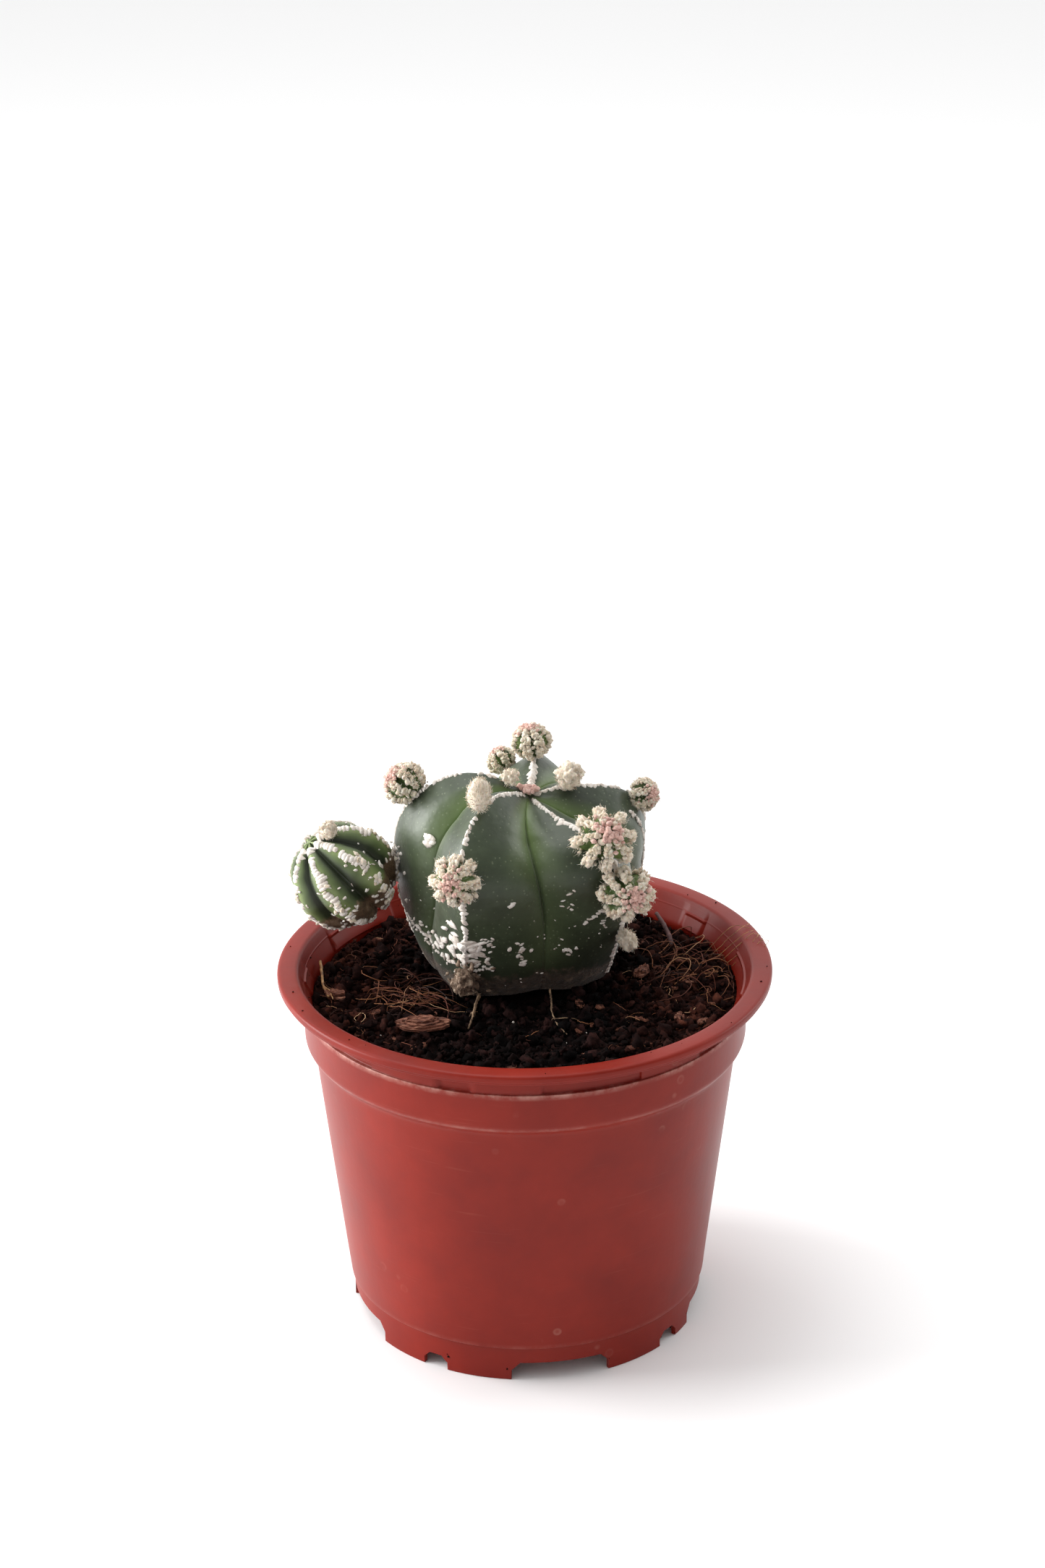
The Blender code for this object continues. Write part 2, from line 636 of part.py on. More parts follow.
def build_chips():
    """Bark chips: flat six-sided flakes that lie on the soil."""
    bark = material("pine_bark", BARK, 0.85)
    for name, (angle, share, length, width, height, heading) in CHIPS.items():
        spot = soil_place(angle, share, SOIL_LUMP + height + 2 * GAP)
        turn = Matrix.Rotation(math.radians(heading), 3, "Z")
        rings = []
        for level, spread in ((1.0, 0.82), (0.0, 1.0), (-1.0, 0.82)):
            rings.append([spot + turn @ Vector((length * spread * math.cos(a),
                                                width * spread * math.sin(a), height * level))
                          for a in (math.pi * k / 4 for k in range(8))])
        rings.insert(0, [spot + Vector((0.0, 0.0, height))])
        rings.append([spot - Vector((0.0, 0.0, height))])
        skin_rings(name, rings, bark)


clear_scene()
build_pot()
build_soil()
build_stem()
build_pups()
build_big_offset()
build_wool()
build_strands()
build_chips()
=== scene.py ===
"""A bishop's-cap cactus with its young offsets, in a moulded plastic nursery pot of peat.

Sizes are in millimetres and become metres where a mesh is made. Only the studio's own places and
sizes are in metres. Angles are in degrees, counted from -Y (the front) towards +X (the right).
"""

import json
import math

import bmesh
import bpy
import numpy as np
from mathutils import Matrix, Vector, noise

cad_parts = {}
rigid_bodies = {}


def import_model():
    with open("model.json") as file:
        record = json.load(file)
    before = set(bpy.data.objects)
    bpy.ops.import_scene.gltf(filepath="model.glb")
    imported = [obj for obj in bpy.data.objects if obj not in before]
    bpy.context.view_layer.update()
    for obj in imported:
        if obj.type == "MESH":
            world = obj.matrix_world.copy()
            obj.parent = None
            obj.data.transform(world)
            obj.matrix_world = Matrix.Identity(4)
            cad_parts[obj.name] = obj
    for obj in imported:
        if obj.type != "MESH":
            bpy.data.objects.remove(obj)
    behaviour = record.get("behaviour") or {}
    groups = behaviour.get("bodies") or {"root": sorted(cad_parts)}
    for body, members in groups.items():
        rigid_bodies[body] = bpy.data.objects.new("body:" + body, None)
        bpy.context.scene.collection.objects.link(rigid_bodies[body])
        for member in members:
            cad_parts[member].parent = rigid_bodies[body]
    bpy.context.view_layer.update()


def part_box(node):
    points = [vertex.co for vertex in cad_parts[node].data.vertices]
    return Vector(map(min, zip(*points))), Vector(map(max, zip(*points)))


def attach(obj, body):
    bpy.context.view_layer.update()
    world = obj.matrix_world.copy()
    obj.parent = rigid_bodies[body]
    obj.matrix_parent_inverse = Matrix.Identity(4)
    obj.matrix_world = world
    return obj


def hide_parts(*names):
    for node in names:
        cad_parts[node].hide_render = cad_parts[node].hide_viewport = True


for leftover in list(bpy.data.objects):
    bpy.data.objects.remove(leftover, do_unlink=True)

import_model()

# ------------------------------------------------------------------ studio
# A white table-top studio: a matt white board under the pot, a bright white surround behind and
# beside it, and soft lamps above and to the left. The front is lit less, so shapes turn darker
# towards the viewer.


def linear(hex_colour):
    """An sRGB hex colour as linear red, green, blue and alpha."""
    parts = [int(hex_colour[i:i + 2], 16) / 255.0 for i in (1, 3, 5)]
    return [p / 12.92 if p <= 0.04045 else ((p + 0.055) / 1.055) ** 2.4 for p in parts] + [1.0]


def node(tree, kind, settings=None, inputs=None):
    """A shader node with its settings, and inputs that are values or other nodes' outputs.

    The setting "stops" fills a colour ramp: places with their sRGB hex colours.
    """
    made = tree.nodes.new("ShaderNode" + kind)
    for name, value in (settings or {}).items():
        if name == "stops":
            ramp = made.color_ramp.elements
            while len(ramp) < len(value):
                ramp.new(0.5)
            for stop, (place, colour) in zip(ramp, value):
                stop.position, stop.color = place, linear(colour)
        else:
            setattr(made, name, value)
    for name, value in (inputs or {}).items():
        if isinstance(value, bpy.types.NodeSocket):
            tree.links.new(value, made.inputs[name])
        else:
            made.inputs[name].default_value = value
    return made


CAMERA_PLACE = (-0.00013, -0.63693, 0.38752)
CAMERA_PITCH = 22.75                    # degrees below the horizon
CAMERA_ROLL = -0.52
CAMERA_LENS = 76.4
camera = bpy.data.objects.new("camera", bpy.data.cameras.new("camera"))
camera.data.lens = CAMERA_LENS
camera.data.sensor_width = 36.0
camera.data.sensor_fit = "AUTO"
camera.data.clip_start = 0.01
camera.location = CAMERA_PLACE
camera.rotation_euler = (Matrix.Rotation(math.radians(90.0 - CAMERA_PITCH), 3, "X")
                         @ Matrix.Rotation(math.radians(CAMERA_ROLL), 3, "Z")).to_euler()
bpy.context.scene.collection.objects.link(camera)
bpy.context.scene.camera = camera
bpy.context.scene.view_settings.view_transform = "Standard"
bpy.context.scene.view_settings.look = "None"

SURROUND_BRIGHT = 1.35
SURROUND_DIM = 0.35
TO_BRIGHT_SIDE = (-0.66, 0.75, 0.0)     # behind the pot and to its left
surround = bpy.data.worlds.new("white_surround")
surround.use_nodes = True
bpy.context.scene.world = surround
sky = surround.node_tree
direction = node(sky, "TexCoord").outputs["Generated"]
depth = node(sky, "VectorMath", {"operation": "DOT_PRODUCT"},
             {0: direction, 1: TO_BRIGHT_SIDE}).outputs["Value"]
strength = node(sky, "MapRange", inputs={
    "Value": depth, "From Min": -0.9, "From Max": 0.6,
    "To Min": SURROUND_DIM, "To Max": SURROUND_BRIGHT})
backdrop = sky.nodes["Background"]
backdrop.inputs["Color"].default_value = linear("#ffffff")
sky.links.new(strength.outputs["Result"], backdrop.inputs["Strength"])

board_paint = bpy.data.materials.new("matt_white_board")
board_paint.use_nodes = True
board_shader = board_paint.node_tree.nodes["Principled BSDF"]
board_shader.inputs["Base Color"].default_value = linear("#f6f6f6")
board_shader.inputs["Roughness"].default_value = 0.9
board_shader.inputs["Specular IOR Level"].default_value = 0.1
BOARD_RADIUS = 4.0
board = bmesh.new()
bmesh.ops.create_circle(board, cap_ends=True, segments=96, radius=BOARD_RADIUS)
board_data = bpy.data.meshes.new("floor")
board.to_mesh(board_data)
board.free()
board_data.materials.append(board_paint)
floor = bpy.data.objects.new("floor", board_data)
bpy.context.scene.collection.objects.link(floor)

SOFTBOXES = {  # place, size, watts
    "lamp_left": ((-0.92, 0.10, 0.34), 0.6, 13.6),
    "lamp_right_back": ((0.80, 0.40, 0.45), 0.5, 2.5),
    "lamp_above": ((-0.25, 0.20, 1.10), 0.6, 3.6),
}
LAMPS_AIM = Vector((0.0, 0.0, 0.08))
for name, (place, size, watts) in SOFTBOXES.items():
    lamp = bpy.data.lights.new(name, "AREA")
    lamp.shape = "SQUARE"
    lamp.size = size
    lamp.energy = watts
    holder = bpy.data.objects.new(name, lamp)
    holder.location = place
    aim = LAMPS_AIM - Vector(place)
    holder.rotation_euler = aim.to_track_quat("-Z", "Y").to_euler()
    bpy.context.scene.collection.objects.link(holder)

# ------------------------------------------------------------------ nursery pot
# A thin round nursery pot, injection-moulded in one piece: a flat lip, a stacking groove with
# shallow pockets, a straight band, a tapered wall, and a foot cut with drain notches.

MM = 0.001
POT_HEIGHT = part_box("pot")[1].z / MM
LIP_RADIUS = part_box("pot")[1].x / MM
WALL = 1.0
INNER_RADIUS = 45.3                     # inside the band
FLOOR_TOP = 5.6
FOOT_RING = 37.5
BAND_TOP = 73.4                         # inside, where the lip starts to lean out
LIP_WIDTH = 4.3
LEDGE = 72.5                            # outside, under the stacking groove
GROOVE_RADIUS = 46.8
GROOVE_TOP = POT_HEIGHT - 2.2
# (radius, height, rounding) up the inside from the floor, over the lip and down to the foot
POT_SECTION = [
    (36.9, FLOOR_TOP, 0.8), (37.7, 8.0, 0.5), (44.15, 62.6, 0.8), (INNER_RADIUS, 64.3, 0.8),
    (INNER_RADIUS, BAND_TOP, 0.9), (LIP_RADIUS - LIP_WIDTH, POT_HEIGHT, 0.7),
    (LIP_RADIUS, POT_HEIGHT, 0.9), (LIP_RADIUS, POT_HEIGHT - 1.5, 0.2),
    (LIP_RADIUS - 0.35, POT_HEIGHT - 1.55, 0.1), (LIP_RADIUS - 0.35, POT_HEIGHT - 2.1, 0.2),
    (LIP_RADIUS - 0.9, POT_HEIGHT - 2.1, 0.2), (GROOVE_RADIUS + 0.05, GROOVE_TOP, 0.8),
    (GROOVE_RADIUS, LEDGE, 0.25), (47.25, LEDGE, 0.3), (47.05, 64.3, 0.9), (45.15, 62.6, 0.9),
    (38.7, 8.0, 0.12), (38.0, 7.7, 0.12), (38.0, 0.0, 0.25), (37.0, 0.0, 0.25), (37.0, 4.6, 0.4),
]
# Drain notches: angle, width, height
WIDE_NOTCHES = (10.6, 81.0, 153.0, 225.0, 290.0)
SMALL_NOTCHES = (52.3, 117.0, 189.0, 257.0, 328.8)
NOTCHES = [(a, 21.0, 4.2) for a in WIDE_NOTCHES] + [(a, 5.7, 3.2) for a in SMALL_NOTCHES]
NOTCH_CORNER = 0.45                     # as a share of the height
# (radius, height, reach, strength) of pale painted highlights along edges of the pot's outside
EDGE_HIGHLIGHTS = ((47.2, LEDGE - 0.1, 0.30, 1.0), (46.9, 64.1, 0.5, 0.35), (38.6, 7.9, 0.4, 0.2))
# Stacking pockets: angle, and width in degrees
POCKETS = [(17.0 + 72.0 * i, 26.0) for i in range(5)] + [(-18.0 + 72.0 * i, 8.5) for i in range(5)]
POCKET_DEPTH = 0.45
POCKET_STEP = 0.25                      # degrees over which a pocket's end steps in
DRAINS = [(a, 28.0, 4.0) for a in WIDE_NOTCHES]     # angle, distance from the middle, radius
LONG_RUN = 3.0
RING_GAP = 8                            # between rings of points along a long run
CORNER_STEPS = 4
POT_TURN = 1.5                          # degrees between columns of points


def around(radius, degrees, z, centre=(0.0, 0.0)):
    """The point at an angle from the front, on a level circle."""
    turn = math.radians(degrees)
    return Vector((centre[0] + radius * math.sin(turn), centre[1] - radius * math.cos(turn), z))


def turn_between(a, b):
    """The degrees from b to a, the short way round."""
    return (a - b + 180.0) % 360.0 - 180.0


def rounded(section):
    """The section's points, with each corner rounded and more points along each long run."""
    path = []
    for i, (radius, z, rounding) in enumerate(section):
        here = Vector((radius, z))
        if i in (0, len(section) - 1):
            path.append(here)
            continue
        sides = [Vector(section[k][:2]) - here for k in (i - 1, i + 1)]
        start, end = (here + s.normalized() * min(rounding, s.length * 0.45) for s in sides)
        for k in range(CORNER_STEPS + 1):
            t = k / CORNER_STEPS
            path.append(start * (1 - t) ** 2 + here * 2 * t * (1 - t) + end * t * t)
    spaced = path[:1]
    for a, b in zip(path, path[1:]):
        long = (b - a).length
        if long > LONG_RUN:
            steps_between = [1.0, *range(RING_GAP, int(long) - 4, RING_GAP), long - 1.0]
            spaced += [a.lerp(b, step / long) for step in steps_between]
        spaced.append(b)
    return spaced


def skin_of(rings):
    """Points and faces of a closed skin over rings of points. A ring of one point is a pole."""
    points, faces, starts = [], [], []
    for ring in rings:
        starts.append(len(points))
        points.extend(ring)
    for n, (upper, lower) in enumerate(zip(rings, rings[1:])):
        a, b, count = starts[n], starts[n + 1], max(len(upper), len(lower))
        for i in range(count):
            j = (i + 1) % count
            if len(upper) == 1:
                faces.append((a, b + i, b + j))
            elif len(lower) == 1:
                faces.append((a + i, b, a + j))
            else:
                faces.append((a + i, b + i, b + j, a + j))
    return points, faces


def add_mesh(name, points, faces, finish, turn_out=False, sharp=180.0):
    """A mesh piece from points in millimetres; sharp is the angle from which edges stay hard."""
    data = bpy.data.meshes.new(name)
    scaled = np.array([tuple(p) for p in points], float) * MM
    data.from_pydata(scaled.tolist(), [], faces if isinstance(faces, list) else faces.tolist())
    if turn_out:
        body = bmesh.new()
        body.from_mesh(data)
        bmesh.ops.recalc_face_normals(body, faces=body.faces)
        if body.calc_volume(signed=True) < 0.0:
            bmesh.ops.reverse_faces(body, faces=body.faces)
        body.to_mesh(data)
        body.free()
    data.materials.append(finish)
    data.shade_smooth()
    if sharp < 180.0:
        data.set_sharp_from_angle(angle=math.radians(sharp))
    piece = bpy.data.objects.new(name, data)
    bpy.context.scene.collection.objects.link(piece)
    return piece


def new_finish(name, roughness, ior):
    """A material, its node tree and its shader."""
    made = bpy.data.materials.new(name)
    made.use_nodes = True
    tree = made.node_tree
    shader = tree.nodes["Principled BSDF"]
    shader.inputs["Roughness"].default_value = roughness
    shader.inputs["IOR"].default_value = ior
    return made, tree, shader


def fineness(across):
    """The scale of a pattern whose marks are so many millimetres across."""
    return 1.0 / (across * MM)


# Injection-moulded polypropylene, terracotta red: a satin skin with a soft glare at its edges,
# cloudy mottling from the pigment, small pale rings where drops dried, faint scuffs, and pale
# painted highlights along its outer edges. The skin's own grain is finer than it is drawn here, so
# that it shows.
pot_plastic, tree, shader = new_finish("moulded_terracotta_polypropylene", 0.40, 1.49)
place = node(tree, "TexCoord").outputs["Object"]
cloud = node(tree, "TexNoise", inputs={"Vector": place, "Scale": fineness(16.7), "Detail": 6.0,
                                       "Roughness": 0.6})
tone = node(tree, "ValToRGB", {"stops": [
    (0.30, "#72160a"), (0.50, "#7b1a0c"), (0.72, "#841e0f")]},
    {"Fac": cloud.outputs["Fac"]})
drops = node(tree, "TexVoronoi", inputs={"Vector": place, "Scale": fineness(4.35), "Randomness": 1.0})
drop_ring = node(tree, "ValToRGB", {"stops": [
    (0.10, "#616161"), (0.20, "#c4c4c4"), (0.27, "#000000")]},
    {"Fac": drops.outputs["Distance"]})
drop_zone = node(tree, "TexNoise", inputs={"Vector": place, "Scale": fineness(14.3), "Detail": 3.0})
drop_here = node(tree, "MapRange", inputs={
    "Value": drop_zone.outputs["Fac"], "From Min": 0.60, "From Max": 0.76, "To Max": 0.45})
lime = node(tree, "Math", {"operation": "MULTIPLY"},
            {0: drop_ring.outputs["Color"], 1: drop_here.outputs["Result"]})
scuff_place = node(tree, "Mapping", inputs={
    "Vector": place, "Rotation": (0.5, 0.3, 0.0),
    "Scale": (fineness(16.7), fineness(16.7), fineness(0.667))})
scuff = node(tree, "TexNoise", inputs={"Vector": scuff_place.outputs["Vector"], "Scale": 1.0,
                                       "Detail": 3.0})
scuff_line = node(tree, "MapRange", inputs={
    "Value": scuff.outputs["Fac"], "From Min": 0.66, "From Max": 0.84, "To Max": 0.12})
limed = node(tree, "Mix", {"data_type": "RGBA"},
             {"Factor": lime.outputs["Value"], 6: tone.outputs["Color"], 7: linear("#c58f80")})
scuffed = node(tree, "Mix", {"data_type": "RGBA"},
               {"Factor": scuff_line.outputs["Result"], 6: limed.outputs[2],
                7: linear("#c27a66")})
# Painted highlight: pale lines along the ledge, the shoulder and the foot step, broken up by noise.
worn = node(tree, "Attribute", {"attribute_name": "worn"}).outputs["Fac"]
highlight_breakup = node(tree, "TexNoise", inputs={"Vector": place, "Scale": fineness(5.26), "Detail": 5.0,
                                       "Roughness": 0.75})
highlight_broken = node(tree, "MapRange", inputs={
    "Value": highlight_breakup.outputs["Fac"], "From Min": 0.42, "From Max": 0.66,
    "To Min": 0.12, "To Max": 0.75})
highlight_share = node(tree, "Math", {"operation": "MULTIPLY"}, {0: worn, 1: highlight_broken.outputs["Result"]})
edge_highlighted = node(tree, "Mix", {"data_type": "RGBA"},
             {"Factor": highlight_share.outputs["Value"], 6: scuffed.outputs[2], 7: linear("#d3a598")})
tree.links.new(edge_highlighted.outputs[2], shader.inputs["Base Color"])
shader.inputs["Specular IOR Level"].default_value = 0.22
skin_grain = node(tree, "TexNoise", inputs={"Vector": place, "Scale": fineness(1.11), "Detail": 3.0})
gloss = node(tree, "MapRange", inputs={
    "Value": cloud.outputs["Fac"], "From Min": 0.3, "From Max": 0.7,
    "To Min": 0.37, "To Max": 0.41})
tree.links.new(gloss.outputs["Result"], shader.inputs["Roughness"])
dents = node(tree, "TexNoise", inputs={"Vector": place, "Scale": fineness(8.33), "Detail": 2.0})
dented = node(tree, "Bump", inputs={"Height": dents.outputs["Fac"], "Strength": 0.1,
                                    "Distance": 0.4 * MM})
grained = node(tree, "Bump", inputs={"Height": skin_grain.outputs["Fac"], "Strength": 0.12,
                                     "Distance": 0.1 * MM, "Normal": dented.outputs["Normal"]})
tree.links.new(grained.outputs["Normal"], shader.inputs["Normal"])


def notch_rise(degrees):
    """How high the foot is cut away at an angle."""
    for centre, width, height in NOTCHES:
        reach = abs(math.radians(turn_between(degrees, centre))) * FOOT_RING
        corner = NOTCH_CORNER * height
        if reach < width / 2:
            return height - max(0.0, reach - (width / 2 - corner))
    return 0.0


def pocket_depth(degrees):
    """How far a stacking pocket sinks into the groove at an angle."""
    near = any(abs(turn_between(degrees, centre)) < width / 2 for centre, width in POCKETS)
    return POCKET_DEPTH if near else 0.0


angles = {POT_TURN * i for i in range(int(360.0 / POT_TURN))}
for centre, width, height in NOTCHES:
    half = math.degrees(width / 2 / FOOT_RING)
    flat = math.degrees((width / 2 - NOTCH_CORNER * height) / FOOT_RING)
    angles |= {(centre + side * a) % 360.0 for side in (-1, 1)
               for a in (half - 0.02, half + 0.02, flat)}
for centre, width in POCKETS:
    angles |= {(centre + side * (width / 2 + edge)) % 360.0 for side in (-1, 1)
               for edge in (-POCKET_STEP, POCKET_STEP)}
angles = sorted(angles)

pot_rings = [[Vector((0.0, 0.0, FLOOR_TOP))]]
# How far each point carries the painted edge highlight.
worn = [0.0]
for radius, z in rounded(POT_SECTION):
    highlight_share = max(share * math.exp(-((radius - r) ** 2 + (z - h) ** 2) / reach**2)
                 for r, h, reach, share in EDGE_HIGHLIGHTS)
    worn += [highlight_share] * len(angles)
    ring = []
    for degrees in angles:
        warp = 0.10 * noise.noise(around(1.3, degrees, z / 40.0)) if z > 12.0 else 0.0
        in_groove = INNER_RADIUS + 0.2 < radius < GROOVE_RADIUS + 0.15 and z >= LEDGE
        deep = pocket_depth(degrees) if in_groove else 0.0
        ring.append(around(radius - deep + warp, degrees, max(z, notch_rise(degrees))))
    pot_rings.append(ring)
pot_rings.append([Vector((0.0, 0.0, FLOOR_TOP - WALL))])
pot = add_mesh("nursery_pot", *skin_of(pot_rings), pot_plastic, turn_out=True, sharp=50.0)
pot.data.attributes.new("worn", "FLOAT", "POINT").data.foreach_set("value", worn + [0.0])

drain_tool = bmesh.new()
for degrees, ring_radius, radius in DRAINS:
    hole = bmesh.ops.create_cone(drain_tool, cap_ends=True, segments=32, radius1=radius,
                                 radius2=radius, depth=3 * WALL)
    bmesh.ops.translate(drain_tool, verts=hole["verts"],
                        vec=around(ring_radius, degrees, FLOOR_TOP - WALL / 2))
drain_tool.transform(Matrix.Scale(MM, 4))
drain_data = bpy.data.meshes.new("drain_tool")
drain_tool.to_mesh(drain_data)
drain_tool.free()
drains = bpy.data.objects.new("drain_tool", drain_data)
drains.hide_render = True
bpy.context.scene.collection.objects.link(drains)
cut = pot.modifiers.new("drain_holes", "BOOLEAN")
cut.operation = "DIFFERENCE"
cut.solver = "EXACT"
cut.object = drains
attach(pot, "root")
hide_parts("pot")

# ------------------------------------------------------------------ peat
# The root ball fills the pot to just under its lip: dark moist peat, crumbly on top, with
# reddish bits of bark and a few white grains of perlite among the crumbs.

SOIL_LEVEL = POT_HEIGHT - 6.9
PLANT_FOOT = Vector((-2.0, 13.0, SOIL_LEVEL + 1.2))
PLANT_FOOT_RADIUS = 21.5
NECK_RADIUS = 6.0
SOIL_SEGMENTS = 300
SOIL_RINGS = 100


def ease(t):
    """A smooth step from 0 to 1."""
    t = min(max(t, 0.0), 1.0)
    return t * t * (3.0 - 2.0 * t)


def soil_top(x, y):
    """Height of the peat: broad humps, clods and crumbs, pressed level under the plant."""
    spot = Vector((x, y, 0.0))
    hump = 0.9 * noise.noise(spot / 7.0)
    clods = 1.3 * noise.noise(spot / 3.4) + 0.7 * noise.noise(spot / 1.6)
    crumbs = 0.30 * noise.noise(spot / 0.7)
    off = math.hypot(x - PLANT_FOOT.x, y - PLANT_FOOT.y)
    under = 1.0 - ease((off - PLANT_FOOT_RADIUS * 1.02) / 5.0)
    return SOIL_LEVEL + (hump + clods + crumbs) * (1.0 - under) - 0.5 * under


def middle_of(name):
    """The middle of a part's box."""
    low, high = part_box(name)
    return (Vector(low) + Vector(high)) / (2.0 * MM)


def open_peat(rng, reach, clear):
    """A random place on the peat, so far from the pot's middle and clear of the plant's foot."""
    while True:
        x, y = rng.uniform(-reach, reach, 2)
        off = math.hypot(x - PLANT_FOOT.x, y - PLANT_FOOT.y)
        if math.hypot(x, y) < reach and off > clear:
            return x, y


def random_frames(sizes, rng):
    """A turned set of axes for each row of sizes, as long as its three half sizes."""
    q = rng.normal(size=(len(sizes), 4))
    w, x, y, z = (q / np.linalg.norm(q, axis=1, keepdims=True)).T
    turns = np.stack([
        np.stack([1 - 2 * (y * y + z * z), 2 * (x * y - z * w), 2 * (x * z + y * w)], 1),
        np.stack([2 * (x * y + z * w), 1 - 2 * (x * x + z * z), 2 * (y * z - x * w)], 1),
        np.stack([2 * (x * z - y * w), 2 * (y * z + x * w), 1 - 2 * (x * x + y * y)], 1)], 1)
    return turns * sizes[:, :, None]


def ball(subdivisions):
    """Points and faces of a round grain, to be stretched and dented."""
    body = bmesh.new()
    bmesh.ops.create_icosphere(body, subdivisions=subdivisions, radius=1.0)
    points = np.array([tuple(v.co) for v in body.verts])
    faces = np.array([[v.index for v in f.verts] for f in body.faces])
    body.free()
    return points, faces


def heap(grain, centres, frames, dent, rng):
    """Many grains as one mesh, each stretched by its frame and dented at random."""
    points, faces = grain
    count = len(centres)
    waves = rng.normal(size=(count, 3, 3)) * 3.0
    swells = np.einsum("cwi,pi->cwp", waves, points) + rng.uniform(0.0, 6.3, (count, 3, 1))
    dents = 1.0 + dent * np.sin(swells).sum(axis=1)[:, :, None]
    dents += 0.3 * dent * rng.uniform(-1.0, 1.0, dents.shape)
    placed = np.einsum("cpi,cij->cpj", points[None] * dents, frames)
    placed += np.asarray(centres, float)[:, None]
    joined = faces[None] + (np.arange(count) * len(points))[:, None, None]
    return placed.reshape(-1, 3), joined.reshape(-1, faces.shape[1])


# Peat: matt, almost black in the middle and browner towards the left and right walls, with crumbs of
# varied shade.
peat, tree, shader = new_finish("moist_peat", 0.92, 1.33)
place = node(tree, "TexCoord").outputs["Object"]
clump = node(tree, "TexNoise", inputs={"Vector": place, "Scale": fineness(3.13), "Detail": 6.0,
                                       "Roughness": 0.7})
island = node(tree, "NewGeometry").outputs["Random Per Island"]
blend = node(tree, "Math", {"operation": "MULTIPLY_ADD"},
             {0: island, 1: 0.40, 2: clump.outputs["Fac"]})
moist = node(tree, "ValToRGB", {"stops": [
    (0.38, "#010101"), (0.64, "#070404"), (0.82, "#160c0b"),
    (1.0, "#301c1a")]}, {"Fac": blend.outputs["Value"]})
dry = node(tree, "ValToRGB", {"stops": [
    (0.38, "#0a0504"), (0.66, "#1f0f0d"), (0.84, "#3c201a"),
    (1.0, "#603629")]}, {"Fac": blend.outputs["Value"]})
# The tone turns browner with distance to the left and right of the pot's middle, broken up by broad
# patches.
patch = node(tree, "TexNoise", inputs={"Vector": place, "Scale": fineness(16.7), "Detail": 2.0})
side = node(tree, "SeparateXYZ", inputs={0: place}).outputs["X"]
far = node(tree, "Math", {"operation": "ABSOLUTE"}, {0: side})
off_middle = node(tree, "Math", {"operation": "MULTIPLY_ADD"},
               {0: patch.outputs["Fac"], 1: 24.0 * MM, 2: far.outputs["Value"]})
browner_to_sides = node(tree, "MapRange", inputs={
    "Value": off_middle.outputs["Value"], "From Min": 26.0 * MM, "From Max": 50.0 * MM,
    "To Max": 0.9})
tone = node(tree, "Mix", {"data_type": "RGBA"},
            {"Factor": browner_to_sides.outputs["Result"], 6: moist.outputs["Color"],
             7: dry.outputs["Color"]})
tree.links.new(tone.outputs[2], shader.inputs["Base Color"])
shader.inputs["Specular IOR Level"].default_value = 0.10
rough = node(tree, "Bump", inputs={"Height": clump.outputs["Fac"], "Strength": 0.8,
                                   "Distance": 0.6 * MM})
tree.links.new(rough.outputs["Normal"], shader.inputs["Normal"])

ROOT_BALL_RADIUS = INNER_RADIUS - 0.25
# (radius, height) of the root ball's side, down along the inside of the pot
ROOT_BALL_SIDE = ((ROOT_BALL_RADIUS, 64.5), (43.8, 62.4), (37.3, 8.2), (36.4, FLOOR_TOP + 0.3))
rings = [[Vector((0.0, 0.0, soil_top(0.0, 0.0)))]]
for i in range(1, SOIL_RINGS + 1):
    ring = []
    for k in range(SOIL_SEGMENTS):
        spot = around(ROOT_BALL_RADIUS * i / SOIL_RINGS, 360.0 * k / SOIL_SEGMENTS, 0.0)
        ring.append(Vector((spot.x, spot.y, soil_top(spot.x, spot.y))))
    rings.append(ring)
for radius, z in ROOT_BALL_SIDE:
    rings.append([around(radius, 360.0 * k / SOIL_SEGMENTS, z) for k in range(SOIL_SEGMENTS)])
rings.append([Vector((0.0, 0.0, FLOOR_TOP + 0.3))])
soil = add_mesh("peat_root_ball", *skin_of(rings), peat, turn_out=True)
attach(soil, "root")
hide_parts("soil")

CRUMB_COUNT = 5000
PERLITE_COUNT = 12
rng = np.random.default_rng(7)
crumb_spots = []
for _ in range(CRUMB_COUNT):
    x, y = open_peat(rng, INNER_RADIUS - 0.8, PLANT_FOOT_RADIUS * 0.85)
    crumb_spots.append((x, y, soil_top(x, y)))
crumb_spots = np.array(crumb_spots)
size = np.clip(rng.lognormal(-0.62, 0.50, CRUMB_COUNT), 0.18, 1.9)
crumb_spots[:, 2] += size * rng.uniform(-0.1, 0.7, CRUMB_COUNT)
frames = random_frames(np.stack([size, size * 0.8, size * 0.6], 1), rng)
crumbs = add_mesh("peat_crumbs", *heap(ball(2), crumb_spots, frames, 0.30, rng), peat)
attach(crumbs, "root")


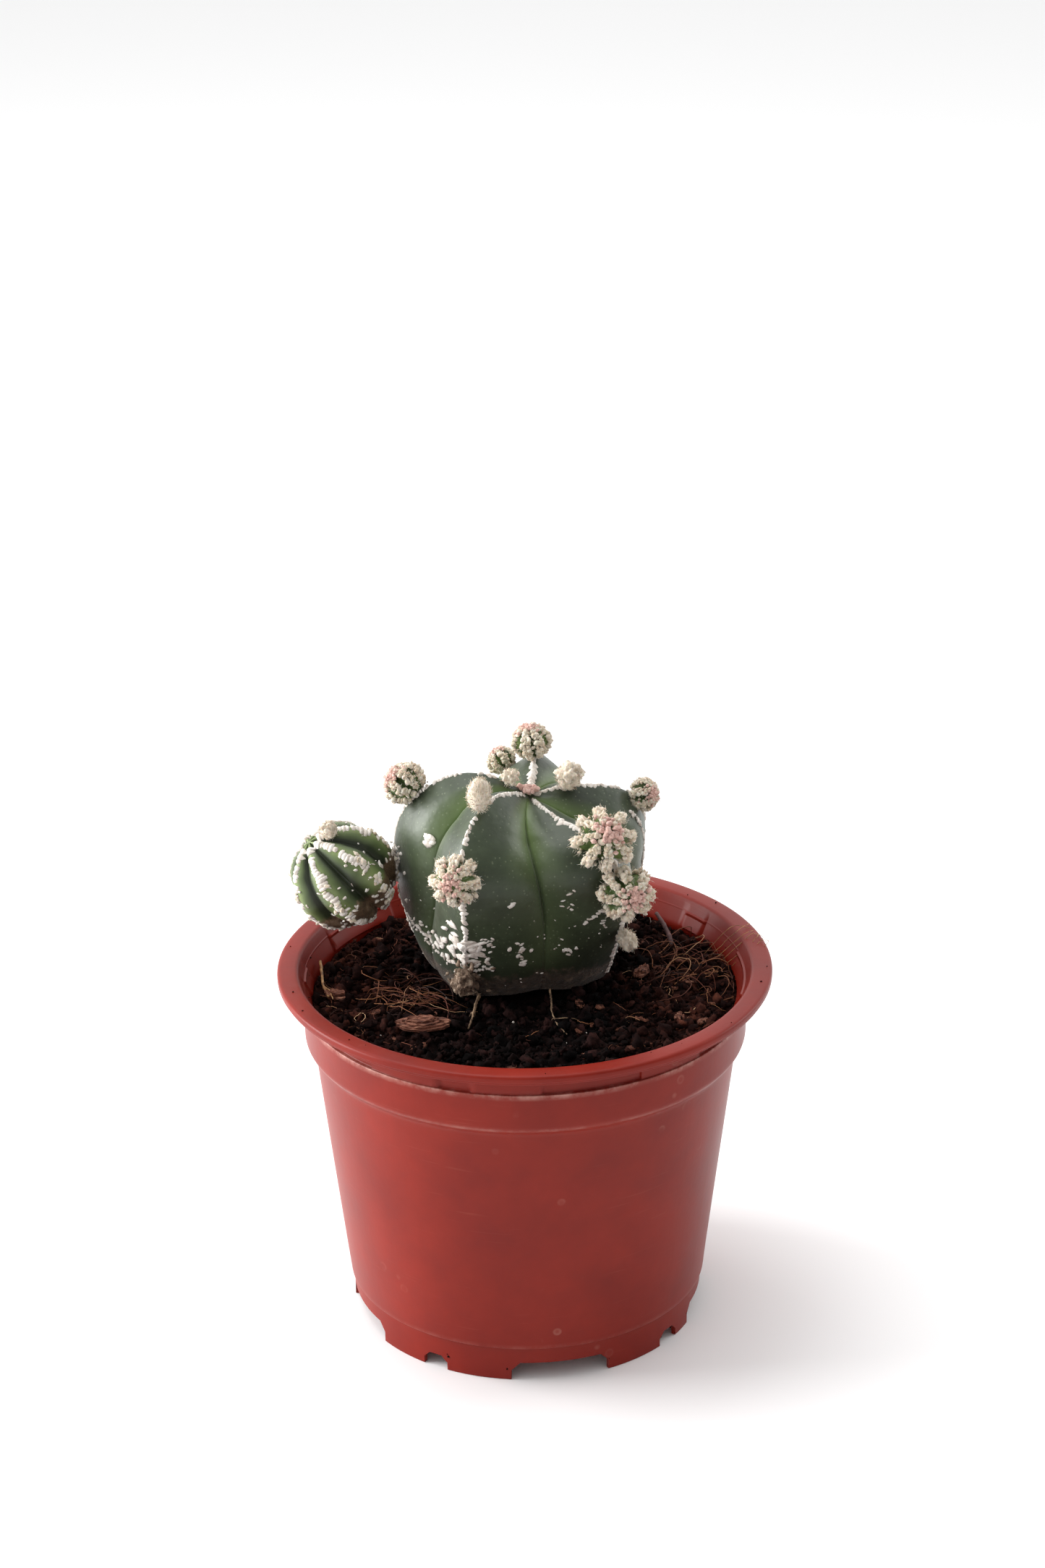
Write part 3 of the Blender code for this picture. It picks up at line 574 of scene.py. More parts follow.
def grained_finish(name, roughness, grain, stops, emboss=(0.0, 0.0), ior=1.45, by_piece=0.0):
    """A finish that one grain shades and embosses, and its shader.

    The grain is given as millimetres across, detail and how frayed it is, and the embossing as
    strength and millimetres deep. by_piece is how far each loose piece has a shade of its own.
    """
    across, detail, frayed = grain
    strength, deep = emboss
    made, tree, shader = new_finish(name, roughness, ior)
    place = node(tree, "TexCoord").outputs["Object"]
    pattern = node(tree, "TexNoise", inputs={
        "Vector": place, "Scale": fineness(across), "Detail": detail,
        "Roughness": frayed}).outputs["Fac"]
    shade = pattern
    if by_piece:
        island = node(tree, "NewGeometry").outputs["Random Per Island"]
        shade = node(tree, "Math", {"operation": "MULTIPLY_ADD"},
                     {0: island, 1: by_piece, 2: pattern}).outputs["Value"]
    tone = node(tree, "ValToRGB", {"stops": stops}, {"Fac": shade})
    tree.links.new(tone.outputs["Color"], shader.inputs["Base Color"])
    if strength:
        raised = node(tree, "Bump", inputs={"Height": pattern, "Strength": strength,
                                            "Distance": deep * MM})
        tree.links.new(raised.outputs["Normal"], shader.inputs["Normal"])
    return made, shader


# Perlite: expanded volcanic glass, chalky white grains well under a millimetre across, with
# greyer pores.
perlite, _ = grained_finish("perlite", 0.9, (0.4, 2.0, 0.5), (
    (0.35, "#8f857c"), (0.6, "#d8cfc6")), ior=1.5)
picked = rng.choice(CRUMB_COUNT, PERLITE_COUNT, replace=False)
size = rng.uniform(0.12, 0.34, len(picked))
spots = crumb_spots[picked] + np.array((0.0, 0.0, 0.6))
frames = random_frames(np.stack([size, size * 0.8, size * 0.7], 1), rng)
grains = add_mesh("perlite_grains", *heap(ball(1), spots, frames, 0.2, rng), perlite)
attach(grains, "root")

# ------------------------------------------------------------------ cactus stem
# The stem: five bold ribs that meet at a sunken apex, with a hard waxy skin. It is bare of
# spines; the skin is cleft along each valley and turns corky at its foot.

STEM_LEAN = Vector((3.2, -4.5))
STEM_HEIGHT = 40.0
STEM_WAIST = 22.0
STEM_RADIUS = 27.0
RIM_POLAR = 139.0
VALLEY_SHARE = 0.85
GROOVE_SHARE = 0.10
CREST_ROUND = 0.025
# (angle at the apex, at the waist, at the base), radius share, shoulder rise, base share
RIBS = {
    "front_left": ((-52.0, -27.5, -32.0), 0.99, 1.5, 0.93),
    "front_right": ((28.0, 53.0, 66.0), 0.99, -4.0, 1.00),
    "back_right": ((108.0, 112.0, 112.0), 1.03, -1.0, 1.02),
    "back": ((176.0, 174.0, 173.0), 0.96, 3.5, 1.02),
    "back_left": ((-97.0, -99.0, -99.0), 1.02, 3.7, 0.86),
}
RIB_NAMES = list(RIBS)
RIB_COLUMNS = 52                        # from one crest to the next
POLAR_STEP = 1.9


def through(knots, x):
    """A smooth value at x through (x, value) knots."""
    x = min(max(x, knots[0][0]), knots[-1][0])
    last = len(knots) - 1
    i = next(k for k in range(last) if x <= knots[k + 1][0])

    def slope(k):
        """The slope at a knot, from its neighbours."""
        a, b = knots[max(k - 1, 0)], knots[min(k + 1, last)]
        return (b[1] - a[1]) / (b[0] - a[0])

    (x0, y0), (x1, y1) = knots[i], knots[i + 1]
    t = (x - x0) / (x1 - x0)
    m0, m1 = slope(i) * (x1 - x0), slope(i + 1) * (x1 - x0)
    return ((2 * t**3 - 3 * t**2 + 1) * y0 + (t**3 - 2 * t**2 + t) * m0
            + (3 * t**2 - 2 * t**3) * y1 + (t**3 - t**2) * m1)


def next_rib(rib, steps=1):
    """The name of the rib so many steps further round."""
    return RIB_NAMES[(RIB_NAMES.index(rib) + steps) % len(RIB_NAMES)]


def rib_angle(rib, polar):
    """The angle round the stem of a rib's crest, so far down from the apex."""
    apex, waist, base = RIBS[rib][0]
    return through([(0.0, apex), (90.0, waist), (RIM_POLAR, base)], polar)


def rib_reach(rib, polar):
    """Distance from the waist's centre to a rib's crest."""
    _, share, rise, base_share = RIBS[rib]
    radius = STEM_RADIUS * share
    foot = PLANT_FOOT_RADIUS * base_share
    top = STEM_HEIGHT - STEM_WAIST
    return through([(0.0, top), (32.0, top + 5.5 + rise), (62.0, radius * 1.035 + 0.35 * rise),
                    (90.0, radius), (115.0, radius * 0.99),
                    (RIM_POLAR, math.hypot(foot, STEM_WAIST))], polar)


def on_stem(reach, degrees, polar):
    """A point from its reach and its two angles, with the stem's lean."""
    tip = math.radians(polar)
    height = max(0.0, STEM_WAIST + reach * math.cos(tip))
    share = height / STEM_HEIGHT
    centre = (PLANT_FOOT.x + STEM_LEAN.x * share, PLANT_FOOT.y + STEM_LEAN.y * share)
    return around(reach * math.sin(tip), degrees, PLANT_FOOT.z + height, centre)


def degrees_wrap(degrees):
    """An angle that has no jump where a turn closes, for the skin's relief."""
    return 90.0 * math.sin(math.radians(degrees / 2.0))


def flank(rib, t, polar, relief=False):
    """A point on the skin between a rib's crest (t = 0) and the next rib's crest (t = 1)."""
    if t < 0.0:
        rib, t = next_rib(rib, -1), 1.0 + t
    after = next_rib(rib)
    start, end = rib_angle(rib, polar), rib_angle(after, polar)
    gap = (end - start) % 360.0
    blend = ease(t)
    reach = rib_reach(rib, polar) * (1.0 - blend) + rib_reach(after, polar) * blend
    from_valley = abs(2.0 * t - 1.0)
    chord = VALLEY_SHARE * (1.0 - math.cos(math.radians(gap / 2)))
    bent = 1.0 - (math.hypot(1.0 - from_valley, CREST_ROUND) - CREST_ROUND)
    hollow = chord * (1.0 - bent**1.8) + GROOVE_SHARE * max(0.0, 1.0 - from_valley / 0.5)**2
    cleft = 0.030 * math.exp(-((from_valley / 0.022) ** 2))
    fade = min(1.0, polar / 45.0) * (1.0 - 0.75 * ease((polar - 85.0) / (RIM_POLAR - 85.0)))
    if relief:
        spot = Vector((degrees_wrap(start + gap * t) * 0.45, polar * 0.45, 3.0))
        reach += 0.22 * noise.noise(spot / 7.0) + 0.07 * noise.noise(spot / 1.8)
        hollow += cleft
    return on_stem(reach * (1.0 - hollow * fade), start + gap * t, polar)


def skin_frame(rib, t, polar):
    """A place's point on the skin, with its directions across, down the rib and outwards."""
    point = flank(rib, t, polar)
    across = (flank(rib, t + 0.01, polar) - flank(rib, t - 0.01, polar)).normalized()
    if t == 0.0:        # a crest is too sharp to give a slope of its own
        turn = math.radians(rib_angle(rib, polar))
        across = Vector((math.cos(turn), math.sin(turn), 0.0))
    down = (flank(rib, t, polar + 1.0) - flank(rib, t, polar - 1.0)).normalized()
    outward = across.cross(down).normalized()
    share = STEM_WAIST / STEM_HEIGHT
    middle = PLANT_FOOT + Vector((STEM_LEAN.x * share, STEM_LEAN.y * share, STEM_WAIST))
    if outward.dot(point - middle) < 0.0:
        outward.negate()
    return point, across, outward.cross(across), outward


def grow_cork(tree, shader, green, across, edges, stops, under=None):
    """Cover a green skin with cork from its foot up, and return how far it covers.

    The cork's grain is so many millimetres across. It begins at the first edge and is whole at
    the second, and under is the relief of the skin that it grows over.
    """
    place = node(tree, "TexCoord").outputs["Object"]
    foot = node(tree, "Attribute", {"attribute_name": "foot"}).outputs["Fac"]
    grain = node(tree, "TexNoise", inputs={
        "Vector": place, "Scale": fineness(across), "Detail": 6.0,
        "Roughness": 0.7}).outputs["Fac"]
    ragged = node(tree, "Math", {"operation": "MULTIPLY_ADD"}, {0: grain, 1: 0.9, 2: foot})
    cover = node(tree, "MapRange", inputs={
        "Value": ragged.outputs["Value"], "From Min": edges[0],
        "From Max": edges[1]}).outputs["Result"]
    tone = node(tree, "ValToRGB", {"stops": stops}, {"Fac": grain})
    covered = node(tree, "Mix", {"data_type": "RGBA"},
                   {"Factor": cover, 6: green, 7: tone.outputs["Color"]})
    tree.links.new(covered.outputs[2], shader.inputs["Base Color"])
    cracked = node(tree, "Bump", inputs={"Height": grain, "Strength": cover,
                                         "Distance": 0.8 * MM})
    if under:
        tree.links.new(under, cracked.inputs["Normal"])
    tree.links.new(cracked.outputs["Normal"], shader.inputs["Normal"])
    return cover


# Cactus epidermis: a firm wax-coated skin, dark grey-green, with a yellow-green painted highlight
# beside the clefts on its upper part, dusted with fine pale dots, darkened by painted shade towards
# the soil, and brown and corky where it nears the soil.
epidermis, tree, shader = new_finish("waxy_cactus_epidermis", 0.42, 1.45)
place = node(tree, "TexCoord").outputs["Object"]
valley = node(tree, "Attribute", {"attribute_name": "valley"}).outputs["Fac"]
foot = node(tree, "Attribute", {"attribute_name": "foot"}).outputs["Fac"]
crown = node(tree, "Attribute", {"attribute_name": "crown"}).outputs["Fac"]
broad = node(tree, "TexNoise", inputs={"Vector": place, "Scale": fineness(11.8), "Detail": 5.0,
                                       "Roughness": 0.6})
tone = node(tree, "ValToRGB", {"stops": [
    (0.30, "#2b3324"), (0.50, "#38422f"), (0.72, "#4a553f")]},
    {"Fac": broad.outputs["Fac"]})
# Painted highlight: the valleys on the upper part of the stem turn yellow-green as if catching the
# light.
painted_valley_highlight = node(tree, "Math", {"operation": "MULTIPLY"}, {0: valley, 1: crown})
lit = node(tree, "Mix", {"data_type": "RGBA"},
           {"Factor": painted_valley_highlight.outputs["Value"], 6: tone.outputs["Color"], 7: linear("#6f8350")})
dots = node(tree, "TexVoronoi", inputs={"Vector": place, "Scale": fineness(1.11), "Randomness": 1.0})
dot = node(tree, "MapRange", inputs={
    "Value": dots.outputs["Distance"], "From Min": 0.10, "From Max": 0.22,
    "To Min": 0.30, "To Max": 0.0})
dusted = node(tree, "Mix", {"data_type": "RGBA"},
              {"Factor": dot.outputs["Result"], 6: lit.outputs[2], 7: linear("#8b9478")})
# Painted shade: the skin darkens to near black towards the soil.
shade = node(tree, "MapRange", inputs={"Value": foot, "From Max": 0.9, "To Max": 0.75})
painted_foot_shade = node(tree, "Mix", {"data_type": "RGBA"},
            {"Factor": shade.outputs["Result"], 6: dusted.outputs[2], 7: linear("#12150d")})
pitted = node(tree, "Bump", inputs={"Height": dots.outputs["Distance"], "Strength": 0.12,
                                    "Distance": 0.3 * MM})
cork = grow_cork(tree, shader, painted_foot_shade.outputs[2], 2.38, (1.08, 1.28), (
    (0.30, "#1f1913"), (0.55, "#4c3f31"), (0.75, "#8a7a66")), pitted.outputs["Normal"])
dull = node(tree, "MapRange", inputs={"Value": cork, "To Min": 0.42, "To Max": 0.9})
tree.links.new(dull.outputs["Result"], shader.inputs["Roughness"])
shader.inputs["Sheen Weight"].default_value = 0.18
shader.inputs["Sheen Roughness"].default_value = 0.4

columns = []
for k in range(RIB_COLUMNS):
    side = 2.0 * k / RIB_COLUMNS - 1.0
    columns.append(0.5 + 0.5 * math.copysign(abs(side) ** 1.35, side))
polars = [POLAR_STEP * i for i in range(1, int(RIM_POLAR / POLAR_STEP) + 1)] + [RIM_POLAR]
rings = [[flank("back", 0.0, 0.0)]]
marks = {"valley": [0.0], "foot": [0.0], "crown": [1.0]}
for polar in polars:
    rings.append([flank(rib, t, polar, relief=True) for rib in RIB_NAMES for t in columns])
    for _ in RIB_NAMES:
        marks["valley"] += [max(0.0, 1.0 - abs(2.0 * t - 1.0) / 0.55) ** 1.5 for t in columns]
    marks["foot"] += [ease((polar - 112.0) / 24.0)] * len(rings[-1])
    marks["crown"] += [1.0 - 0.75 * ease((polar - 25.0) / 60.0)] * len(rings[-1])
edge = rings[-1]
for share, drop in ((0.80, 0.6), (0.45, 0.7)):
    rings.append([PLANT_FOOT + Vector(((p.x - PLANT_FOOT.x) * share,
                                       (p.y - PLANT_FOOT.y) * share, -drop)) for p in edge])
for drop in (0.9, 7.0):
    rings.append([PLANT_FOOT + Vector((p.x - PLANT_FOOT.x, p.y - PLANT_FOOT.y, 0.0)).normalized()
                  * NECK_RADIUS - Vector((0.0, 0.0, drop)) for p in edge])
rings.append([PLANT_FOOT - Vector((0.0, 0.0, 7.0))])
points, faces = skin_of(rings)
stem = add_mesh("ribbed_stem", points, faces, epidermis, turn_out=True)
for name, values in marks.items():
    rest = 1.0 if name == "foot" else 0.0
    values += [rest] * (len(points) - len(values))
    stem.data.attributes.new(name, "FLOAT", "POINT").data.foreach_set("value", values)
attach(stem, "root")
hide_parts("cactus_stem")

# ------------------------------------------------------------------ flecks
# Tufts of short white hairs grow out of the skin as scaly flecks: rows of little transverse
# chips along the crests, and scattered dots and clusters low on the flanks.

CHIP_COLUMNS = 7
CHIP_ROWS = 4
CHIP_SINK = 0.35


def crest_spot(rib, polar, aside):
    """The point on the skin so many millimetres aside of a crest."""
    near = flank(rib, 0.05 if aside >= 0.0 else -0.05, polar)
    per_t = max((near - flank(rib, 0.0, polar)).length / 0.05, 1.0)
    return flank(rib, max(-0.49, min(0.49, aside / per_t)), polar)


def slab(top, bottom):
    """A closed scale between two grids of points."""
    rows, cols = top.shape[:2]
    points = np.concatenate([top.reshape(-1, 3), bottom.reshape(-1, 3)])
    low = rows * cols
    faces = []
    for r in range(rows - 1):
        for c in range(cols - 1):
            a, b = r * cols + c, r * cols + c + 1
            d, e = a + cols, b + cols
            faces.append((a, b, e, d))
            faces.append((low + a, low + d, low + e, low + b))
    rim = list(range(cols)) + [r * cols + cols - 1 for r in range(1, rows)]
    rim += [(rows - 1) * cols + c for c in range(cols - 2, -1, -1)]
    rim += [r * cols for r in range(rows - 2, 0, -1)]
    for a, b in zip(rim, rim[1:] + rim[:1]):
        faces.append((a, low + a, low + b, b))
    return points, faces


def joined(bodies):
    """Several bodies' points and faces as one."""
    points, faces, start = [], [], 0
    for body_points, body_faces in bodies:
        points.append(np.asarray(body_points, float))
        faces += [tuple(int(i) + start for i in face) for face in body_faces]
        start += len(body_points)
    return np.concatenate(points), faces


def crest_chip(rib, polar, half_across, half_along, height, slant, rng):
    """One scale folded over a crest."""
    _, _, _, outward = skin_frame(rib, 0.0, polar)
    per_degree = (flank(rib, 0.0, polar + 0.5) - flank(rib, 0.0, polar - 0.5)).length
    top = np.zeros((CHIP_ROWS, CHIP_COLUMNS, 3))
    bottom = top.copy()
    shift = rng.uniform(-0.25, 0.25) * half_across
    for r in range(CHIP_ROWS):
        v = 2.0 * r / (CHIP_ROWS - 1) - 1.0
        for c in range(CHIP_COLUMNS):
            u = 2.0 * c / (CHIP_COLUMNS - 1) - 1.0
            aside = shift + u * half_across * (1.0 - 0.18 * v * v) * rng.uniform(0.88, 1.08)
            along = v * half_along * (1.0 - 0.45 * u * u) + slant * u + 0.25 * half_along * u * u
            skin = crest_spot(rib, polar + (along + rng.uniform(-0.05, 0.05)) / per_degree, aside)
            swell = height * math.sqrt(max(0.0, (1.05 - u * u) * (1.05 - 0.8 * v * v)))
            swell *= rng.uniform(0.75, 1.2)
            top[r, c] = skin + outward * swell
            bottom[r, c] = skin - outward * CHIP_SINK
    return slab(top, bottom)


# Trichome scales: dry matted hairs, chalk white with warm grey shade, fully matt. The hairs are
# far finer than the grain, which is as coarse as it needs to be to show.
scales, shader = grained_finish("white_trichome_scales", 0.95, (0.714, 4.0, 0.65), (
    (0.32, "#a39384"), (0.50, "#d6cbc0"), (0.85, "#eee8e1")), (0.7, 0.3), by_piece=0.35)
shader.inputs["Specular IOR Level"].default_value = 0.2
shader.inputs["Sheen Weight"].default_value = 0.25

# Stretches of crest: rib, polar from and to, spacing, half across, half along, share kept
CREST_ROWS = (
    ("front_left", 5.0, 36.0, 0.75, 0.75, 0.50, 1.0),
    ("front_left", 43.0, 63.0, 0.95, 0.75, 0.55, 0.95),
    ("front_left", 77.0, 100.0, 0.95, 0.85, 0.60, 0.9),
    ("front_left", 100.0, 124.0, 0.90, 1.10, 0.60, 0.85),
    ("front_right", 5.0, 34.0, 0.75, 0.75, 0.50, 1.0),
    ("front_right", 34.0, 54.0, 0.80, 1.05, 0.60, 1.0),
    ("front_right", 64.0, 78.0, 0.90, 1.00, 0.60, 0.9),
    ("front_right", 86.0, 136.0, 0.95, 0.90, 0.60, 0.85),
    ("back_right", 5.0, 20.0, 0.75, 0.60, 0.50, 1.0),
    ("back_right", 28.0, 52.0, 0.80, 0.95, 0.55, 0.95),
    ("back_right", 60.0, 134.0, 1.05, 0.90, 0.60, 0.8),
    ("back", 4.0, 26.0, 0.80, 0.95, 0.60, 1.0),
    ("back", 30.0, 134.0, 1.00, 0.90, 0.60, 0.85),
    ("back_left", 17.0, 50.0, 0.95, 0.55, 0.55, 0.75),
    ("back_left", 58.0, 132.0, 1.00, 0.80, 0.60, 0.85),
)
rng = np.random.default_rng(21)
chips = []
for rib, start, end, spacing, half_across, half_along, kept in CREST_ROWS:
    polar = start
    while polar < end:
        per_degree = (flank(rib, 0.0, polar + 0.5) - flank(rib, 0.0, polar - 0.5)).length
        swell = 1.0 + 0.6 * noise.noise(Vector((polar / 7.0, half_across * 9.0, 4.0)))
        if rng.uniform() < kept:
            chips.append(crest_chip(
                rib, polar, half_across * swell * rng.uniform(0.6, 1.2),
                half_along * rng.uniform(0.8, 1.2), rng.uniform(0.28, 0.5),
                rng.uniform(-0.35, 0.35), rng))
        polar += spacing * rng.uniform(0.8, 1.25) / max(per_degree, 0.15)
crest_chips = add_mesh("crest_scales", *joined(chips), scales, turn_out=True)
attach(crest_chips, "root")

# Clusters on the flanks: rib on the left, share to the next rib, polar, spread, count, half size
CLUSTERS = (
    ("front_left", 0.28, 83.0, 0.0, 1, 0.95),
    ("back_left", 0.42, 65.0, 1.1, 7, 1.10),
    ("front_left", 0.70, 79.0, 0.8, 2, 0.60),
    ("front_left", 0.65, 88.0, 1.4, 5, 0.45),
    ("front_left", 0.34, 114.0, 2.6, 8, 0.75),
    ("front_left", 0.66, 118.0, 1.8, 6, 0.65),
    ("front_left", 0.12, 104.0, 2.6, 12, 0.50),
    ("front_left", 0.09, 118.0, 2.8, 12, 0.75),
    ("back_left", 0.90, 109.0, 2.8, 22, 1.45),
    ("back_left", 0.76, 114.0, 3.0, 14, 0.95),
    ("front_left", 0.05, 109.0, 2.0, 10, 1.50),
    ("back_left", 0.36, 114.0, 4.0, 16, 0.60),
    ("back_left", 0.06, 84.0, 3.2, 16, 0.60),
    ("front_right", 0.35, 100.0, 4.0, 9, 0.55),
    ("back_right", 0.45, 96.0, 5.0, 10, 0.60),
    ("back", 0.40, 90.0, 5.0, 12, 0.60),
)
# Short rows that run off a crest: rib, (share, polar) from and to, count, half size
TRAILS = (
    ("front_left", (0.88, 91.0), (0.75, 99.0), 9, 0.62),
    ("front_left", (0.86, 99.0), (0.89, 104.0), 3, 0.45),
    ("front_left", (0.335, 109.0), (0.33, 120.0), 6, 0.50),
    ("front_left", (0.05, 122.0), (0.17, 121.0), 6, 0.60),
    ("back_left", (0.18, 112.0), (0.50, 119.0), 12, 0.70),
    ("back_left", (0.50, 119.0), (0.85, 121.0), 10, 0.70),
    ("back_right", (0.15, 112.0), (0.60, 118.0), 9, 0.60),
    ("back", (0.30, 116.0), (0.75, 113.0), 10, 0.60),
    ("front_right", (0.79, 60.0), (0.82, 92.0), 24, 0.75),
)
SCATTERED = 150
flecks = [(rib, t, polar, spread, size) for rib, t, polar, spread, count, size in CLUSTERS
          for _ in range(count)]
for rib, (t0, p0), (t1, p1), count, size in TRAILS:
    flecks += [(rib, t0 + (t1 - t0) * i / count, p0 + (p1 - p0) * i / count, 0.25, size)
               for i in range(count + 1)]
for _ in range(SCATTERED):
    flecks.append((RIB_NAMES[rng.integers(5)], rng.uniform(0.05, 0.95),
                   rng.uniform(96.0, 132.0), 0.0, rng.choice((0.16, 0.22, 0.30))))
centres, frames = [], []
for rib, t, polar, spread, size in flecks:
    point, across, down, outward = skin_frame(rib, t, polar)
    spot = point + across * rng.normal() * spread * 0.6 + down * rng.normal() * spread * 0.6
    wide, long = size * rng.uniform(0.55, 1.25), size * rng.uniform(0.30, 0.65)
    spin = rng.normal() * 0.5
    side = across * math.cos(spin) + down * math.sin(spin)
    centres.append(spot + outward * 0.05)
    frames.append((side * wide, outward.cross(side) * long, outward * min(0.32, 0.5 * size)))
dots = add_mesh("flank_flecks",
                *heap(ball(2), np.array([tuple(c) for c in centres]),
                      np.array([[tuple(v) for v in f] for f in frames]), 0.16, rng), scales)
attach(dots, "root")

# ------------------------------------------------------------------ young offsets
# Seven young offsets sit on the crests like small stars: a green ribbed body almost hidden by
# thick cream wool along its ribs, with soft pink wool at the growing point.

# name: (rib, share, polar), radius, points, lean across, lean up, growing point's lean
PUPS = {
    "pup_left_shoulder": (("back_left", 0.0, 53.0), 4.7, 8, -0.2, -0.3, (-0.1, -1.2, 0.2)),
    "pup_front_left": (("front_left", 0.0, 70.0), 5.2, 8, 0.3, 0.0, (0.0, -0.3, 0.1)),
    "pup_front_right_upper": (("front_right", 0.0, 58.0), 6.5, 8, -0.45, -0.25, (0.3, 0.0, 0.3)),
    "pup_front_right_lower": (("front_right", 0.0, 80.0), 5.8, 8, -0.85, 0.0, (0.3, 0.0, 0.4)),
    "pup_back_top": (("back", 0.0, 26.0), 4.3, 7, 0.2, 0.0, (0.0, 0.0, 0.3)),
    "pup_back_side": (("back", 0.24, 41.0), 3.2, 7, 0.2, 0.3, (0.0, 0.0, 0.3)),
    "pup_back_right": (("back_right", 0.0, 58.0), 3.6, 7, -0.5, -0.6, (-0.3, -1.0, 0.3)),
}
PUP_LENGTH = 1.6                        # in radii
PUP_GAP = 0.6                           # from the skin to the foot of the CAD solid
PUP_SINK = 0.8                          # how much further in the wool hides a pup's foot
PUP_ROWS = 20
PUP_PER_RIB = 10
PUP_NOTCH = 0.34                        # depth of the valleys, as a share of the radius
RIB_FULLNESS = 0.8                      # under 1, the ribs swell and the valleys are narrow


def frames_along(axes, sizes, rng):
    """Frames whose third axis points along each given direction."""
    axes = axes / np.linalg.norm(axes, axis=1, keepdims=True)
    side = np.cross(axes, rng.normal(size=axes.shape))
    side /= np.linalg.norm(side, axis=1, keepdims=True)
    other = np.cross(axes, side)
    return np.stack([side, other, axes], 1) * sizes[:, :, None]


def star_body(middle, axis, radius, half_length, ribs):
    """Rings of a ribbed round body about its axis, sunken a little at its tip."""
    side = axis.orthogonal().normalized()
    other = axis.cross(side)
    rings = [[middle + axis * half_length * 0.93]]
    for i in range(1, PUP_ROWS):
        tip = math.pi * i / PUP_ROWS
        ring = []
        for k in range(ribs * PUP_PER_RIB):
            turn = 2.0 * math.pi * k / (ribs * PUP_PER_RIB)
            crest = abs(math.cos(turn * ribs / 2.0)) ** RIB_FULLNESS
            reach = radius * math.sin(tip) * (1.0 - PUP_NOTCH * (1.0 - crest))
            ring.append(middle + axis * half_length * math.cos(tip)
                        + (side * math.cos(turn) + other * math.sin(turn)) * reach)
        rings.append(ring)
    rings.append([middle - axis * half_length])
    return rings


# Young epidermis: the same skin before its wax hardens, a brighter, yellower green.
young_skin, tree, shader = new_finish("young_cactus_epidermis", 0.45, 1.45)
place = node(tree, "TexCoord").outputs["Object"]
broad = node(tree, "TexNoise", inputs={"Vector": place, "Scale": fineness(4.17), "Detail": 4.0})
tone = node(tree, "ValToRGB", {"stops": [
    (0.30, "#2c3a1c"), (0.52, "#4d6130"), (0.74, "#788c4c")]},
    {"Fac": broad.outputs["Fac"]})
tree.links.new(tone.outputs["Color"], shader.inputs["Base Color"])
grain = node(tree, "TexNoise", inputs={"Vector": place, "Scale": fineness(0.667), "Detail": 3.0})
rough = node(tree, "Bump", inputs={"Height": grain.outputs["Fac"], "Strength": 0.3,
                                   "Distance": 0.3 * MM})
tree.links.new(rough.outputs["Normal"], shader.inputs["Normal"])

# Areole wool: soft matted felt, cream with a straw cast in its folds, light passing a little way
# into it.
wool, shader = grained_finish("cream_areole_wool", 0.95, (0.769, 5.0, 0.7), (
    (0.34, "#9a866b"), (0.52, "#cfbea5"), (0.80, "#ebdfcd")), (0.8, 0.4), by_piece=0.35)
shader.inputs["Specular IOR Level"].default_value = 0.15
shader.inputs["Sheen Weight"].default_value = 0.4
shader.inputs["Subsurface Weight"].default_value = 0.12
shader.inputs["Subsurface Scale"].default_value = 0.8 * MM

# Growing-point wool: the newest hairs, still tinted pink.
pink_wool, shader = grained_finish("pink_growing_point_wool", 0.95, (0.667, 4.0, 0.7), (
    (0.34, "#bf9184"), (0.52, "#ddb5a8"), (0.75, "#eed2c8")), (0.8, 0.4))
shader.inputs["Specular IOR Level"].default_value = 0.15
shader.inputs["Sheen Weight"].default_value = 0.4


HAIR_SECTIONS = (0.0, 0.4, 0.75)        # shares of its length where a hair has a ring of points


def hairs(roots, directions, length, radius, bend, rng):
    """Short tapered hairs as one mesh, each bent a little towards a random side."""
    count = len(roots)
    directions = directions / np.linalg.norm(directions, axis=1, keepdims=True)
    side = np.cross(directions, rng.normal(size=directions.shape))
    side /= np.linalg.norm(side, axis=1, keepdims=True)
    other = np.cross(directions, side)
    long = (length * rng.uniform(0.6, 1.3, count))[:, None]
    curl = side * rng.uniform(-bend, bend, (count, 1)) + other * rng.uniform(-bend, bend, (count, 1))
    points = []
    for t in HAIR_SECTIONS:
        middle = roots + directions * long * t + curl * long * t * t
        for k in range(3):
            turn = 2.0 * math.pi * k / 3.0
            points.append(middle + (side * math.cos(turn) + other * math.sin(turn))
                          * radius * (1.0 - 0.6 * t))
    points.append(roots + directions * long + curl * long)
    one = [(2, 1, 0)]
    for level in (0, 3):
        for k in range(3):
            j = (k + 1) % 3
            one += [(level + k, level + j, level + 3 + j), (level + k, level + 3 + j, level + 3 + k)]
    one += [(6 + k, 6 + (k + 1) % 3, 9) for k in range(3)]
    placed = np.stack(points, 1)
    faces = np.array(one)[None] + (np.arange(count) * 10)[:, None, None]
    return placed.reshape(-1, 3), faces.reshape(-1, 3)


